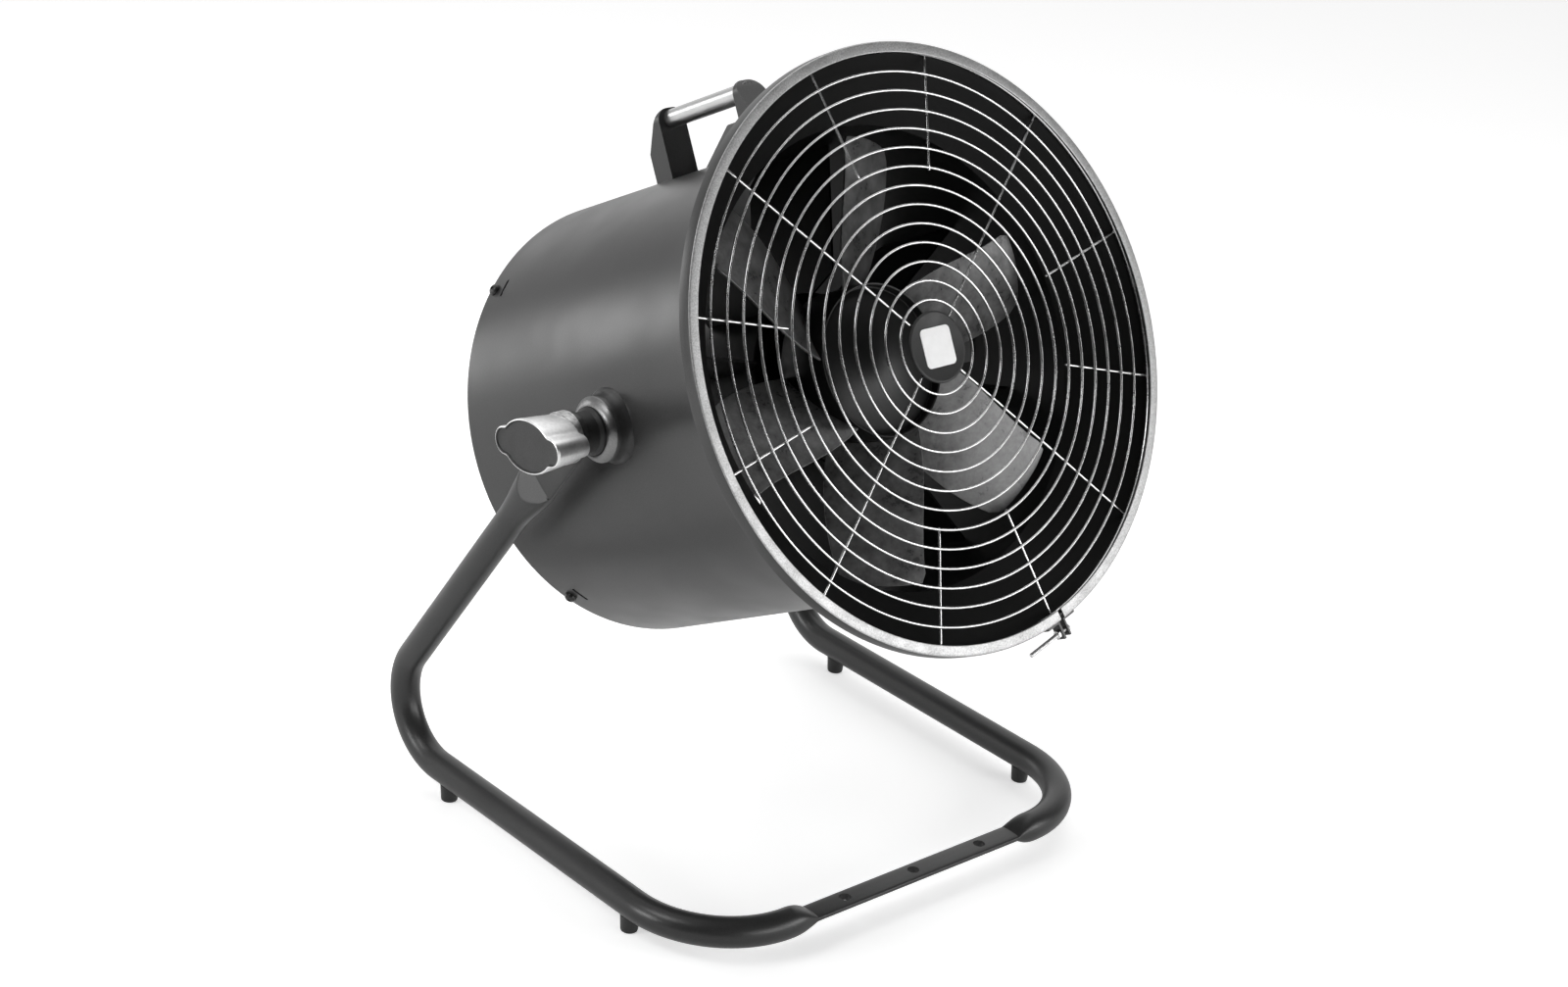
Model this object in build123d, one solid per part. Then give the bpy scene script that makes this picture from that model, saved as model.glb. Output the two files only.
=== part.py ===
from build123d import *
import os
from math import atan2, cos, pi, radians, sin, sqrt, tan

# Drum fan on a bent-tube floor stand. Millimetres, +Z up, the fan blows towards -Y.
# The frame's origin is on the floor under the middle of the whole fan's box.
# Drum parts are drawn in the drum's own frame: X right, Y up, Z forward along the air flow,
# with its origin where the tilt axis crosses the fan axis. "Station" means a place along Z there.
# A gap is the clearance left between two pieces, a wall is the stock beside a bore.

# Where the tilt axis is, and how far back the drum leans
PIVOT_Y = 10.65
PIVOT_Z = 380.4
TILT = radians(28.46)

# Fits that many pieces share
RUNNING = 0.08
LOOSE = 0.2
SEAT_GAP = 0.3

# Drum
DRUM_R = 183.0
SHEET = 1.5
DRUM_IN_R = DRUM_R - SHEET
REAR = -189.2
CONE_START = 130.0
CONE_END = 174.0
FLARE = 46.5
MOUTH_R = DRUM_R + FLARE
LIP_R = MOUTH_R + 3.5
SCREW_R = 2.4
SCREW_STATION = REAR + 8.2
SCREW_HEAD_R = 5.0
SCREW_HEAD = 4.2
SLOT_STATION = REAR + 21.2
SLOT_LENGTH = 17.0
SLOT_WIDTH = 3.0
REAR_ANGLES = (45, 135, 225, 315)
WIRE_HOLE_R = 8.0

# Front grille: rings on spokes, slightly domed
WIRE = 3.0
WIRE_SINK = 0.25 * WIRE
SPOKE_WIDTH = 0.8 * WIRE
RING_FIRST = 36.3
RING_COUNT = 13
RIM_WIRE_R = MOUTH_R - 0.3
RIM_WIRE = 4.4
RIM_GAP = 16.5
RING_PITCH = (RIM_WIRE_R - RIM_GAP - RING_FIRST) / (RING_COUNT - 1)
DOME_R = RIM_WIRE_R - 1.8
DOME_RISE = 3.1
GRILLE_STATION = CONE_END + 3.8
SPOKE_START = 14
SPOKE_STEP = 30
LONG_SPOKES = (44, 134, 224, 314)
SHORT_SPOKE_R = 138.0
DISC_R = 28.0
DISC_THICK = 2.0
DISC_BEVEL = 0.8
LABEL_SIDE = 30.5
LABEL_CORNER = 4.0
LABEL_THICK = 0.6

# Rear guard inside the drum's rear rim
REAR_RING_FIRST = 23.0
REAR_RING_COUNT = 9
REAR_RING_GAP = 4.9
REAR_RING_PITCH = (DRUM_IN_R - REAR_RING_GAP - REAR_RING_FIRST) / (REAR_RING_COUNT - 1)
REAR_GRILLE_STATION = REAR + 2.2
REAR_TAB_WIDTH = 12.0
REAR_TAB_THICK = 2.0

# Ring that clamps the front grille on the mouth
CLAMP_IN_R = MOUTH_R - 2.8
CLAMP_R = LIP_R + 2.3
CLAMP_BEND = 1.6
CLAMP_FRONT = CONE_END + 8.8
CLAMP_BACK = CONE_END - 3.0
CLAMP_GAP_ANGLE = -75.0
CLAMP_GAP = 4.5
TAB_HEIGHT = 15.0
TAB_THICK = 2.0
TAB_FOOT = 14.0
TAB_DEPTH = CLAMP_FRONT - CLAMP_BACK - 3.0
TAB_HOLE_R = CLAMP_R + TAB_HEIGHT - 5.0
CLAMP_SCREW_LENGTH = 44.0
CLAMP_SCREW_R = 2.5
CLAMP_HEAD_R = 4.3
CLAMP_HEAD = 3.5

# Carrying handle: a round grip between two brackets
HANDLE_R = 7.8
HANDLE_WALL = 1.7
HANDLE_HEIGHT = DRUM_R + 48.0
HANDLE_BACK = -64.5
HANDLE_FRONT = 34.0
HANDLE_SOCKET = 4.0
BRACKET_WIDTH = 28.0
BRACKET_DEPTH = 21.5
BRACKET_TOP = HANDLE_HEIGHT + HANDLE_R + HANDLE_WALL
BRACKET_KINK = DRUM_R + 24.0
BRACKET_CORNER = 11.0
BRACKET_NOSE = 5.0
BRACKET_SCREW_BITE = 11.0

# Tilt pivot
STUD_R = 6.0
STUD_BORE = STUD_R + 0.1
STUD_HEAD_R = STUD_R + 5.0
STUD_HEAD = 8.4
DISH_R = 28.0
DISH_FACE = DRUM_R + 7.0
DISH_RIM = DRUM_R + 11.0
DISH_WALL = 2.0
DISH_STEP = 6.0
WASHER_R = 19.0
WASHER_STEP_R = 16.5
WASHER_BODY = 13.0
WASHER_STEP = 2.0
WASHER_LENGTH = 26.15

# Stand tube, flattened at both arm tops and along the middle of the crossbar
TUBE_R = 12.5
FLAT_THICK = 5.5
FLAT_WIDTH = 38.0
STAND_X = DISH_FACE + WASHER_LENGTH + SEAT_GAP + FLAT_THICK / 2
FOOT_LIFT = 12.6
RAIL_Z = FOOT_LIFT + TUBE_R
ARM_SLOPE = radians(55.0)
ARM_BEND_R = 54.0
ARM_FLAT = 61.0
ARM_CREASE = 85.0
ARM_ROUND = 118.0
CREASE_WIDTH = 2 * TUBE_R + 4.0
CREASE_THICK = 2 * TUBE_R - 3.5
CORNER_BEND_R = 85.0
CROSSBAR_Y = PIVOT_Y - 201.0
BAR_FADE = 22.2
BAR_HALF = STAND_X - CORNER_BEND_R - BAR_FADE
BAR_WIDTH = 25.0
BAR_THICK = 6.0
BAR_HOLE_R = 5.0
BAR_HOLE_PITCH = 75.0

# Rubber feet
FOOT_FRONT = -110.4
FOOT_REAR = 130.1
FOOT_R = 7.0
FOOT_TOP_R = 8.5
FOOT_SADDLE = 3.0
STEM_R = 3.0
STEM_BITE = 5.0

# Clamping knobs
ARM_FACE = STAND_X + FLAT_THICK / 2
COLLAR_R = 19.0
COLLAR_LENGTH = 8.25
KNOB_BACK = ARM_FACE + SEAT_GAP + COLLAR_LENGTH
KNOB_DEPTH = 32.0
KNOB_FACE = KNOB_BACK + KNOB_DEPTH
KNOB_LONG = 31.0
KNOB_SHORT = 21.5
KNOB_EAR_REACH = 28.5
KNOB_EAR_R = 11.5
KNOB_TAPER = 3.0
KNOB_RIM = 2.2
KNOB_RECESS = 1.4
KNOB_TURN = 10.6

# Motor, carried by flat guide vanes
SHAFT_R = 8.0
MOTOR_R = 66.0
MOTOR_BACK = -70.0
MOTOR_FRONT = 40.0
MOTOR_BORE = SHAFT_R + 4.0
CAP_THICK = 9.0
CAP_BEVEL = 4.0
BEARING_R = SHAFT_R + 12.0
BEARING_RISE = 5.0
BOLT_HEAD_R = 4.5
BOLT_HEAD = 4.0
BOLT_INSET = 12.0
VANE_COUNT = 8
VANE_FIRST = 30
VANE_BACK = -40.0
VANE_FRONT = 62.0
VANE_THICK = 2.0
VANE_CORNER = 14.0
VANE_GAP = 0.1

# Impeller
BLADE_COUNT = 6
BLADE_FIRST = 26.0
BLADE_THICK = 2.0
BLADE_ROOT = 4.0
TIP_GAP = 6.0
TIP_R = DRUM_IN_R - TIP_GAP
HUB_R = 61.0
HUB_WALL = 4.0
HUB_BACK = 68.0
HUB_FRONT = 110.0
HUB_WEB = 6.0
HUB_LIP = 8.0
HUB_LIP_WALL = 2.5
SLEEVE_WALL = 8.0
NOSE_RISE = 17.0
NOSE_R = HUB_R - HUB_LIP_WALL - 0.5
NOSE_STEPS = 6

# Control box, saddled to the drum beside the handle; "side" runs down the drum from the box's own line
BOX_ANGLE = 44.0
BOX_UPPER_SIDE = -97.0
BOX_LOWER_SIDE = 35.0
BOX_TOP = DRUM_R + 34.6
BOX_BACK = -110.0
BOX_FRONT = -10.0
BOX_CORNER = 4.0
BOX_SKIRT = 40.0
LID_THICK = 3.0
CONTROL_HEIGHT = DRUM_R + 18.0
DIAL_R = 10.0
DIAL_DEPTH = 13.0
DIAL_SIDE = 15.0
SPINDLE_R = 3.0
SPINDLE_LENGTH = 9.0
ROCKER_SIDE = -14.0
ROCKER_HALF = 9.2
ROCKER_WIDTH = 12.4
ROCKER_BARREL_R = 3.0
ROCKER_GAP = 0.5
INLET_SIDE = -50.0
INLET_WIDTH = 30.0
INLET_HEIGHT = 20.0
INLET_DEPTH = 12.0
INLET_FLANGE = 2.0

# Reach of the cutting shapes past what they cut
PAST = 6.0

DRUM = Plane(
    origin=(0, PIVOT_Y, PIVOT_Z), x_dir=(1, 0, 0), z_dir=(0, -cos(TILT), sin(TILT))
)


def on_axis(*outline):
    """Turns a closed outline of (radius, station) points about the Z axis."""
    corners = [(radius, 0, station) for radius, station in outline]
    return revolve(make_face(Polyline(*corners, close=True)), Axis.Z)


def rod(radius, start, end):
    """A round bar on the Z axis between two stations."""
    return extrude(Plane.XY.offset(start) * Circle(radius), end - start)


def group(pieces):
    """Several loose solids kept as one node."""
    return Compound(children=list(pieces))


def outward(angle, station, radius=0.0):
    """A plane in the drum's frame whose Z axis points out of the drum at an angle."""
    out = (cos(radians(angle)), sin(radians(angle)), 0)
    at = (radius * out[0], radius * out[1], station)
    return Plane(origin=at, x_dir=(0, 0, 1), z_dir=out)


def through_wall(sketch, angle, station):
    """A cutter that pushes a sketch out through the drum's wall at an angle."""
    return extrude(outward(angle, station, DRUM_IN_R - PAST) * sketch, 2 * PAST + SHEET)


def on_drum(shape):
    """Moves a shape from the drum's frame to the fan's."""
    return DRUM.location * shape


def both_sides(shape):
    """The left piece and its mirror image on the right."""
    return shape, mirror(shape, Plane.YZ)


# ---------------------------------------------------------------- stand


def tube_section(plane, width, thick):
    """A squashed tube's section with four edges, or a round one where both sizes agree."""
    half_thick = thick / 2
    if width > thick:
        flat = (width - thick) / 2
        edges = [
            Line((-flat, half_thick), (flat, half_thick)),
            ThreePointArc((flat, half_thick), (width / 2, 0), (flat, -half_thick)),
            Line((flat, -half_thick), (-flat, -half_thick)),
            ThreePointArc((-flat, -half_thick), (-width / 2, 0), (-flat, half_thick)),
        ]
    else:
        part = half_thick / sqrt(2)
        edges = [
            ThreePointArc((-part, part), (0, half_thick), (part, part)),
            ThreePointArc((part, part), (half_thick, 0), (part, -part)),
            ThreePointArc((part, -part), (0, -half_thick), (-part, -part)),
            ThreePointArc((-part, -part), (-half_thick, 0), (-part, part)),
        ]
    return plane * make_face(edges)


def arm():
    """Left arm down to the floor bend: a flat tip, two creased slopes, then the round tube."""
    down = Vector(0, cos(ARM_SLOPE), -sin(ARM_SLOPE))
    pivot = Vector(-STAND_X, PIVOT_Y, PIVOT_Z)
    across = Vector(0, sin(ARM_SLOPE), cos(ARM_SLOPE))
    turn = pi - ARM_SLOPE
    straight_end = (PIVOT_Z - RAIL_Z) / sin(ARM_SLOPE) - ARM_BEND_R * tan(turn / 2)

    def arm_plane(distance):
        return Plane(origin=pivot + down * distance, x_dir=across, z_dir=down)

    flat = Plane(origin=pivot, x_dir=down, z_dir=(-1, 0, 0))
    outline = Circle(FLAT_WIDTH / 2) + Pos(ARM_FLAT / 2, 0) * Rectangle(ARM_FLAT, FLAT_WIDTH)
    tip = extrude(flat * outline, FLAT_THICK / 2, both=True)
    slopes = loft(
        [
            tube_section(arm_plane(ARM_FLAT), FLAT_WIDTH, FLAT_THICK),
            tube_section(arm_plane(ARM_CREASE), CREASE_WIDTH, CREASE_THICK),
            tube_section(arm_plane(ARM_ROUND), 2 * TUBE_R, 2 * TUBE_R),
        ],
        ruled=True,
    )
    tube = extrude(arm_plane(ARM_ROUND) * Circle(TUBE_R), straight_end - ARM_ROUND)
    centre = pivot + down * straight_end - across * ARM_BEND_R
    bend = revolve(
        arm_plane(straight_end) * Circle(TUBE_R), Axis(centre, (-1, 0, 0)), turn * 180 / pi
    )
    return tip + slopes + tube + bend, centre.Y


def stand_frame():
    """One tube: two arms, two rails and the crossbar behind, squashed flat in its middle."""
    left_arm, rail_start = arm()
    rail_end = CROSSBAR_Y + CORNER_BEND_R
    rail_plane = Plane(origin=(-STAND_X, rail_end, RAIL_Z), x_dir=(0, 0, 1), z_dir=(0, 1, 0))
    rail = extrude(rail_plane * Circle(TUBE_R), rail_start - rail_end)
    corner_x = CORNER_BEND_R - STAND_X
    corner = revolve(
        rail_plane * Circle(TUBE_R), Axis((corner_x, rail_end, RAIL_Z), (0, 0, 1)), 90
    )

    def bar_plane(x):
        return Plane(origin=(x, CROSSBAR_Y, RAIL_Z), x_dir=(0, 1, 0), z_dir=(1, 0, 0))

    pinch = loft(
        [
            tube_section(bar_plane(corner_x), 2 * TUBE_R, 2 * TUBE_R),
            tube_section(bar_plane(-BAR_HALF), BAR_WIDTH, BAR_THICK),
        ],
        ruled=True,
    )
    half = left_arm + rail + corner + pinch
    bar = extrude(tube_section(bar_plane(-BAR_HALF), BAR_WIDTH, BAR_THICK), 2 * BAR_HALF)
    frame = half + bar + mirror(half, Plane.YZ)

    for step in (-1, 0, 1):
        hole = Pos(step * BAR_HOLE_PITCH, CROSSBAR_Y, RAIL_Z)
        frame -= hole * Cylinder(BAR_HOLE_R, BAR_THICK + 2 * PAST)
    pin_hole = Pos(0, PIVOT_Y, PIVOT_Z) * Rot(0, 90, 0)
    frame -= pin_hole * Cylinder(STUD_R + RUNNING, 2 * (ARM_FACE + PAST))
    for x, y in foot_places():
        frame -= Pos(x, y, 0) * rod(STEM_R, 0, FOOT_LIFT + STEM_BITE)
    return frame


def foot_places():
    """The four feet, front pair first, each left then right."""
    return [
        (side * STAND_X, PIVOT_Y + y) for y in (FOOT_FRONT, FOOT_REAR) for side in (-1, 1)
    ]


def foot(x, y):
    """A tapered rubber foot, saddled to the tube, with a stem pushed into the tube's hole."""
    height = FOOT_LIFT + FOOT_SADDLE
    body = on_axis((0, 0), (FOOT_R, 0), (FOOT_TOP_R, height), (0, height))
    body -= Pos(0, 0, RAIL_Z) * Rot(90, 0, 0) * Cylinder(TUBE_R, 4 * FOOT_TOP_R)
    return Pos(x, y, 0) * (body + rod(STEM_R, height / 2, FOOT_LIFT + STEM_BITE))


# ---------------------------------------------------------------- drum and grilles


def drum_shell():
    """Rolled drum with its flared mouth and the flat lip that the grille rests on."""
    slope = atan2(CONE_END - CONE_START, MOUTH_R - DRUM_R)
    shift_r = SHEET * sin(slope)
    shift_s = SHEET * cos(slope)
    inner_start = CONE_START + shift_s - (DRUM_R - shift_r - DRUM_IN_R) * tan(slope)
    inner_mouth = MOUTH_R - shift_r + (SHEET - shift_s) / tan(slope)
    shell = on_axis(
        (DRUM_IN_R, REAR),
        (DRUM_R, REAR),
        (DRUM_R, CONE_START),
        (MOUTH_R, CONE_END),
        (LIP_R, CONE_END),
        (LIP_R, CONE_END + SHEET),
        (inner_mouth, CONE_END + SHEET),
        (DRUM_IN_R, inner_start),
    )
    for angle in REAR_ANGLES:
        shell -= through_wall(SlotOverall(SLOT_LENGTH, SLOT_WIDTH), angle, SLOT_STATION)
        shell -= through_wall(Circle(SCREW_R + LOOSE), angle, SCREW_STATION)
    for station in bracket_screw_stations():
        shell -= through_wall(Circle(SCREW_R + LOOSE), 90, station)
    shell -= through_wall(Circle(WIRE_HOLE_R), BOX_ANGLE, (BOX_BACK + BOX_FRONT) / 2)
    return shell - Rot(0, 90, 0) * Cylinder(STUD_BORE, 2 * (DRUM_R + PAST))


def dome(radius):
    """Station of the front grille's middle surface at a radius."""
    return GRILLE_STATION + DOME_RISE * (1 - (radius / DOME_R) ** 2)


def wire_ring(radius, station, face=1):
    """One ring of three-sided wire whose flat lies on the spokes."""
    half = WIRE / 2
    return on_axis(
        (radius - half, station - face * half / 2),
        (radius + half, station - face * half / 2),
        (radius, station + face * half * 1.2),
    )


def front_spoke(angle, start):
    """One spoke bent to the dome in three straight runs, out to the rim wire."""
    end = RIM_WIRE_R - SPOKE_WIDTH / 2
    reaches = [start + (end - start) * k / 3 for k in range(4)]
    front = [(r, 0, dome(r) - WIRE_SINK + SEAT_GAP) for r in reaches]
    back = [(r, 0, station - SPOKE_WIDTH) for r, _, station in reversed(front)]
    outline = make_face(Polyline(*front, *back, close=True))
    return Rot(0, 0, angle) * extrude(outline, SPOKE_WIDTH / 2, both=True)


def front_grille():
    """Rings on spokes, welded: four long spokes reach the middle disc."""
    radii = [RING_FIRST + RING_PITCH * k for k in range(RING_COUNT)]
    wires = [wire_ring(r, dome(r)) for r in radii]
    seat = CONE_END + SHEET
    rim = on_axis(
        (RIM_WIRE_R - RIM_WIRE / 2, seat),
        (RIM_WIRE_R + RIM_WIRE / 2, seat),
        (RIM_WIRE_R, seat + RIM_WIRE),
    )
    for k in range(360 // SPOKE_STEP):
        angle = SPOKE_START + SPOKE_STEP * k
        start = DISC_R / 2 if angle in LONG_SPOKES else SHORT_SPOKE_R
        wires.append(front_spoke(angle, start))
    return rim.fuse(*wires)


def disc_back():
    """Station of the middle disc's rear face, just clear of the long spokes."""
    return dome(DISC_R / 2) - WIRE_SINK + SEAT_GAP + RUNNING


def centre_disc():
    """Round plate in the middle of the front grille."""
    back = disc_back()
    front = back + DISC_THICK
    return on_axis(
        (0, back), (DISC_R, back), (DISC_R, front - DISC_BEVEL), (DISC_R - DISC_BEVEL, front), (0, front)
    )


def centre_label():
    """Plain square plate with rounded corners on the disc."""
    outline = RectangleRounded(LABEL_SIDE, LABEL_SIDE, LABEL_CORNER)
    return extrude(Plane.XY.offset(disc_back() + DISC_THICK) * outline, LABEL_THICK)


def clamp_ring():
    """Sheet ring of L section, open at one place for its screw."""
    opening = CLAMP_GAP / CLAMP_R * 180 / pi
    outline = Polyline(
        (CLAMP_IN_R, 0, CLAMP_FRONT - SHEET),
        (CLAMP_IN_R, 0, CLAMP_FRONT),
        (CLAMP_R - CLAMP_BEND, 0, CLAMP_FRONT),
        (CLAMP_R, 0, CLAMP_FRONT - CLAMP_BEND),
        (CLAMP_R, 0, CLAMP_BACK),
        (CLAMP_R - SHEET, 0, CLAMP_BACK),
        (CLAMP_R - SHEET, 0, CLAMP_FRONT - SHEET),
        close=True,
    )
    ring = revolve(make_face(outline), Axis.Z, 360 - opening)
    return Rot(0, 0, CLAMP_GAP_ANGLE + opening / 2) * ring


def clamp_tab(side):
    """Lug bent out of one end of the clamp ring, with a hole for the screw."""
    middle = CLAMP_BACK + TAB_DEPTH / 2
    inner = side * CLAMP_GAP / 2
    lug = Pos(CLAMP_R + TAB_HEIGHT / 2, inner + side * TAB_THICK / 2, middle) * Box(
        TAB_HEIGHT, TAB_THICK, TAB_DEPTH
    )
    sole = Pos(CLAMP_R + TAB_THICK / 2, inner + side * TAB_FOOT / 2, middle) * Box(
        TAB_THICK, TAB_FOOT, TAB_DEPTH
    )
    hole = Pos(TAB_HOLE_R, 0, middle) * Rot(90, 0, 0)
    tab = lug + sole - hole * Cylinder(CLAMP_SCREW_R + LOOSE, 2 * TAB_FOOT)
    return Rot(0, 0, CLAMP_GAP_ANGLE) * tab


def clamp_screw():
    """Long screw across the ring's opening, with its head and nut on the outside of the lugs."""
    seat = CLAMP_GAP / 2 + TAB_THICK
    line = Pos(TAB_HOLE_R, 0, CLAMP_BACK + TAB_DEPTH / 2) * Rot(90, 0, 0)
    head = rod(CLAMP_HEAD_R, -seat - CLAMP_HEAD, -seat)
    nut = extrude(Plane.XY.offset(seat) * RegularPolygon(CLAMP_HEAD_R, 6), CLAMP_HEAD)
    shank = rod(CLAMP_SCREW_R, -seat, CLAMP_SCREW_LENGTH - seat)
    return Rot(0, 0, CLAMP_GAP_ANGLE) * line * (head + shank + nut)


def rear_grille():
    """Ring guard inside the rear rim, on four spokes with bent ends."""
    radii = [REAR_RING_FIRST + REAR_RING_PITCH * k for k in range(REAR_RING_COUNT)]
    wires = [wire_ring(r, REAR_GRILLE_STATION, face=-1) for r in radii]
    back = REAR_GRILLE_STATION + WIRE_SINK - SEAT_GAP
    middle = back + SPOKE_WIDTH / 2
    end = DRUM_IN_R - LOOSE
    tab_end = SCREW_STATION + SCREW_HEAD_R + 1
    for angle in REAR_ANGLES:
        bar = Pos((REAR_RING_FIRST + end) / 2, 0, middle) * Box(
            end - REAR_RING_FIRST, WIRE, SPOKE_WIDTH
        )
        tab = Pos(end - REAR_TAB_THICK / 2, 0, (back + tab_end) / 2) * Box(
            REAR_TAB_THICK, REAR_TAB_WIDTH, tab_end - back
        )
        hole = Pos(end, 0, SCREW_STATION) * Rot(0, 90, 0)
        wires.append(Rot(0, 0, angle) * (bar + tab - hole * Cylinder(SCREW_R + LOOSE, 4 * PAST)))
    return wires[0].fuse(*wires[1:])


def rear_screws():
    """Four black screws through the drum wall into the rear guard."""
    screws = []
    for angle in REAR_ANGLES:
        head = rod(SCREW_HEAD_R, DRUM_R + RUNNING, DRUM_R + SCREW_HEAD)
        shank = rod(SCREW_R, DRUM_IN_R - 2 * PAST, DRUM_R + RUNNING)
        screws.append(outward(angle, SCREW_STATION).location * (head + shank))
    return group(screws)


# ---------------------------------------------------------------- handle


def bracket_screw_stations():
    """Where the handle's brackets are screwed to the drum."""
    return (HANDLE_BACK - BRACKET_DEPTH / 2, HANDLE_FRONT + BRACKET_DEPTH / 2)


def handle_bracket(inner, away):
    """Cast bracket: the side outline and the front outline cut each other out of one block."""
    outer = inner + away * BRACKET_DEPTH
    side = Polyline(
        (0, DRUM_R - PAST, inner),
        (0, DRUM_R - PAST, outer),
        (0, BRACKET_KINK, outer),
        (0, BRACKET_TOP - BRACKET_NOSE, inner + away * BRACKET_NOSE),
        (0, BRACKET_TOP, inner + away * SHEET),
        (0, BRACKET_TOP, inner),
        close=True,
    )
    profile = extrude(make_face(side), BRACKET_WIDTH, both=True)
    height = BRACKET_TOP - DRUM_R + PAST
    front = Pos(0, BRACKET_TOP - height / 2) * Rectangle(BRACKET_WIDTH, height)
    top_corners = front.vertices().group_by(Axis.Y)[-1]
    front = fillet(top_corners, BRACKET_CORNER)
    low = min(inner, outer)
    bracket = profile & extrude(Plane.XY.offset(low) * front, BRACKET_DEPTH)
    bracket -= rod(DRUM_R, low - PAST, low + BRACKET_DEPTH + PAST)
    bracket -= Pos(0, HANDLE_HEIGHT, inner) * Cylinder(HANDLE_R, 2 * HANDLE_SOCKET)
    for station in bracket_screw_stations():
        hole = Pos(0, DRUM_R, station) * Rot(90, 0, 0)
        bracket -= hole * Cylinder(SCREW_R + RUNNING, 2 * (BRACKET_SCREW_BITE + 1))
    return bracket


def handle_tube():
    """Round grip whose ends sit in the brackets' sockets."""
    return Pos(0, HANDLE_HEIGHT, 0) * rod(
        HANDLE_R, HANDLE_BACK - HANDLE_SOCKET, HANDLE_FRONT + HANDLE_SOCKET
    )


def handle_screws():
    """Screws from inside the drum up into the two brackets."""
    seat = DRUM_IN_R - SEAT_GAP
    screws = []
    for station in bracket_screw_stations():
        head = rod(SCREW_HEAD_R - 1, seat - SCREW_HEAD + 1, seat)
        shank = rod(SCREW_R, seat, DRUM_R + BRACKET_SCREW_BITE)
        screws.append(Pos(0, 0, station) * Rot(-90, 0, 0) * (head + shank))
    return group(screws)


# ---------------------------------------------------------------- pivot and knobs


def left_side(shape):
    """Moves a piece drawn on the Z axis to the left end of the tilt axis."""
    side = Plane(origin=(0, PIVOT_Y, PIVOT_Z), x_dir=(0, -1, 0), z_dir=(-1, 0, 0))
    return side.location * shape


def pivot_dish():
    """Pressed dish that spreads the clamping load on the drum wall."""
    foot_r = DISH_R - DISH_STEP
    dish = on_axis(
        (STUD_BORE, DRUM_R - PAST),
        (foot_r, DRUM_R - PAST),
        (foot_r, DRUM_R),
        (DISH_R, DISH_RIM),
        (DISH_R - DISH_WALL, DISH_RIM),
        (WASHER_R + LOOSE, DISH_FACE),
        (STUD_BORE, DISH_FACE),
    )
    # The drum's wall curves away above and below the tilt axis
    wall = Rot(0, 0, TILT * 180 / pi - 90) * Rot(90, 0, 0) * Cylinder(DRUM_R, 2 * DRUM_R)
    return left_side(dish - wall)


def pivot_washer():
    """Stepped rubber friction washer between the dish and the arm."""
    step = DISH_FACE + WASHER_BODY
    face = DISH_FACE + WASHER_LENGTH
    return left_side(
        on_axis(
            (STUD_BORE, DISH_FACE),
            (WASHER_R, DISH_FACE),
            (WASHER_R, step),
            (WASHER_STEP_R, step + WASHER_STEP),
            (WASHER_STEP_R, face),
            (STUD_BORE, face),
        )
    )


def pivot_stud():
    """Stud from inside the drum, out through the arm and into the knob."""
    head_back = DRUM_IN_R - STUD_HEAD - 2 * SEAT_GAP
    head = extrude(Plane.XY.offset(head_back) * RegularPolygon(STUD_HEAD_R, 6), STUD_HEAD)
    return left_side(head + rod(STUD_R, head_back, KNOB_FACE - PAST - 2))


def knob_outline(inset):
    """The knob's oval with an ear at each end, drawn in all round by an inset."""
    oval = Ellipse(KNOB_LONG - inset, KNOB_SHORT - inset)
    return oval + SlotCenterToCenter(2 * KNOB_EAR_REACH, 2 * (KNOB_EAR_R - inset))


def knob():
    """Cast wing knob: tapered oval with two ears, a rimmed face and a collar to the arm."""
    body = loft(
        [
            Plane.XY.offset(KNOB_BACK) * knob_outline(KNOB_TAPER),
            Plane.XY.offset(KNOB_FACE) * knob_outline(0),
        ],
        ruled=True,
    )
    recess = Plane.XY.offset(KNOB_FACE - KNOB_RECESS) * knob_outline(KNOB_RIM)
    body -= extrude(recess, PAST)
    collar_end = ARM_FACE + SEAT_GAP
    body += rod(COLLAR_R, collar_end, KNOB_BACK)
    body -= rod(STUD_R + RUNNING, collar_end, KNOB_FACE - PAST)
    return left_side(Rot(0, 0, KNOB_TURN) * body)


# ---------------------------------------------------------------- motor


def motor_housing():
    """Round motor body, open only along its shaft."""
    return on_axis(
        (MOTOR_BORE, MOTOR_BACK), (MOTOR_R, MOTOR_BACK), (MOTOR_R, MOTOR_FRONT), (MOTOR_BORE, MOTOR_FRONT)
    )


def motor_cap(face, away):
    """End cap with a raised bearing seat, open for the shaft."""
    seat = face + away * CAP_THICK
    ridge = seat + away * BEARING_RISE
    return on_axis(
        (SHAFT_R + RUNNING, face),
        (MOTOR_R, face),
        (MOTOR_R - CAP_BEVEL, seat),
        (BEARING_R + CAP_BEVEL, seat),
        (BEARING_R, ridge),
        (SHAFT_R + RUNNING, ridge),
    )


def motor_bolts():
    """Socket screws round the motor's front cap."""
    seat = MOTOR_FRONT + CAP_THICK
    head = Pos(MOTOR_R - BOLT_INSET, 0, 0) * rod(BOLT_HEAD_R, seat, seat + BOLT_HEAD)
    return group(Rot(0, 0, angle) * head for angle in REAR_ANGLES)


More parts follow.
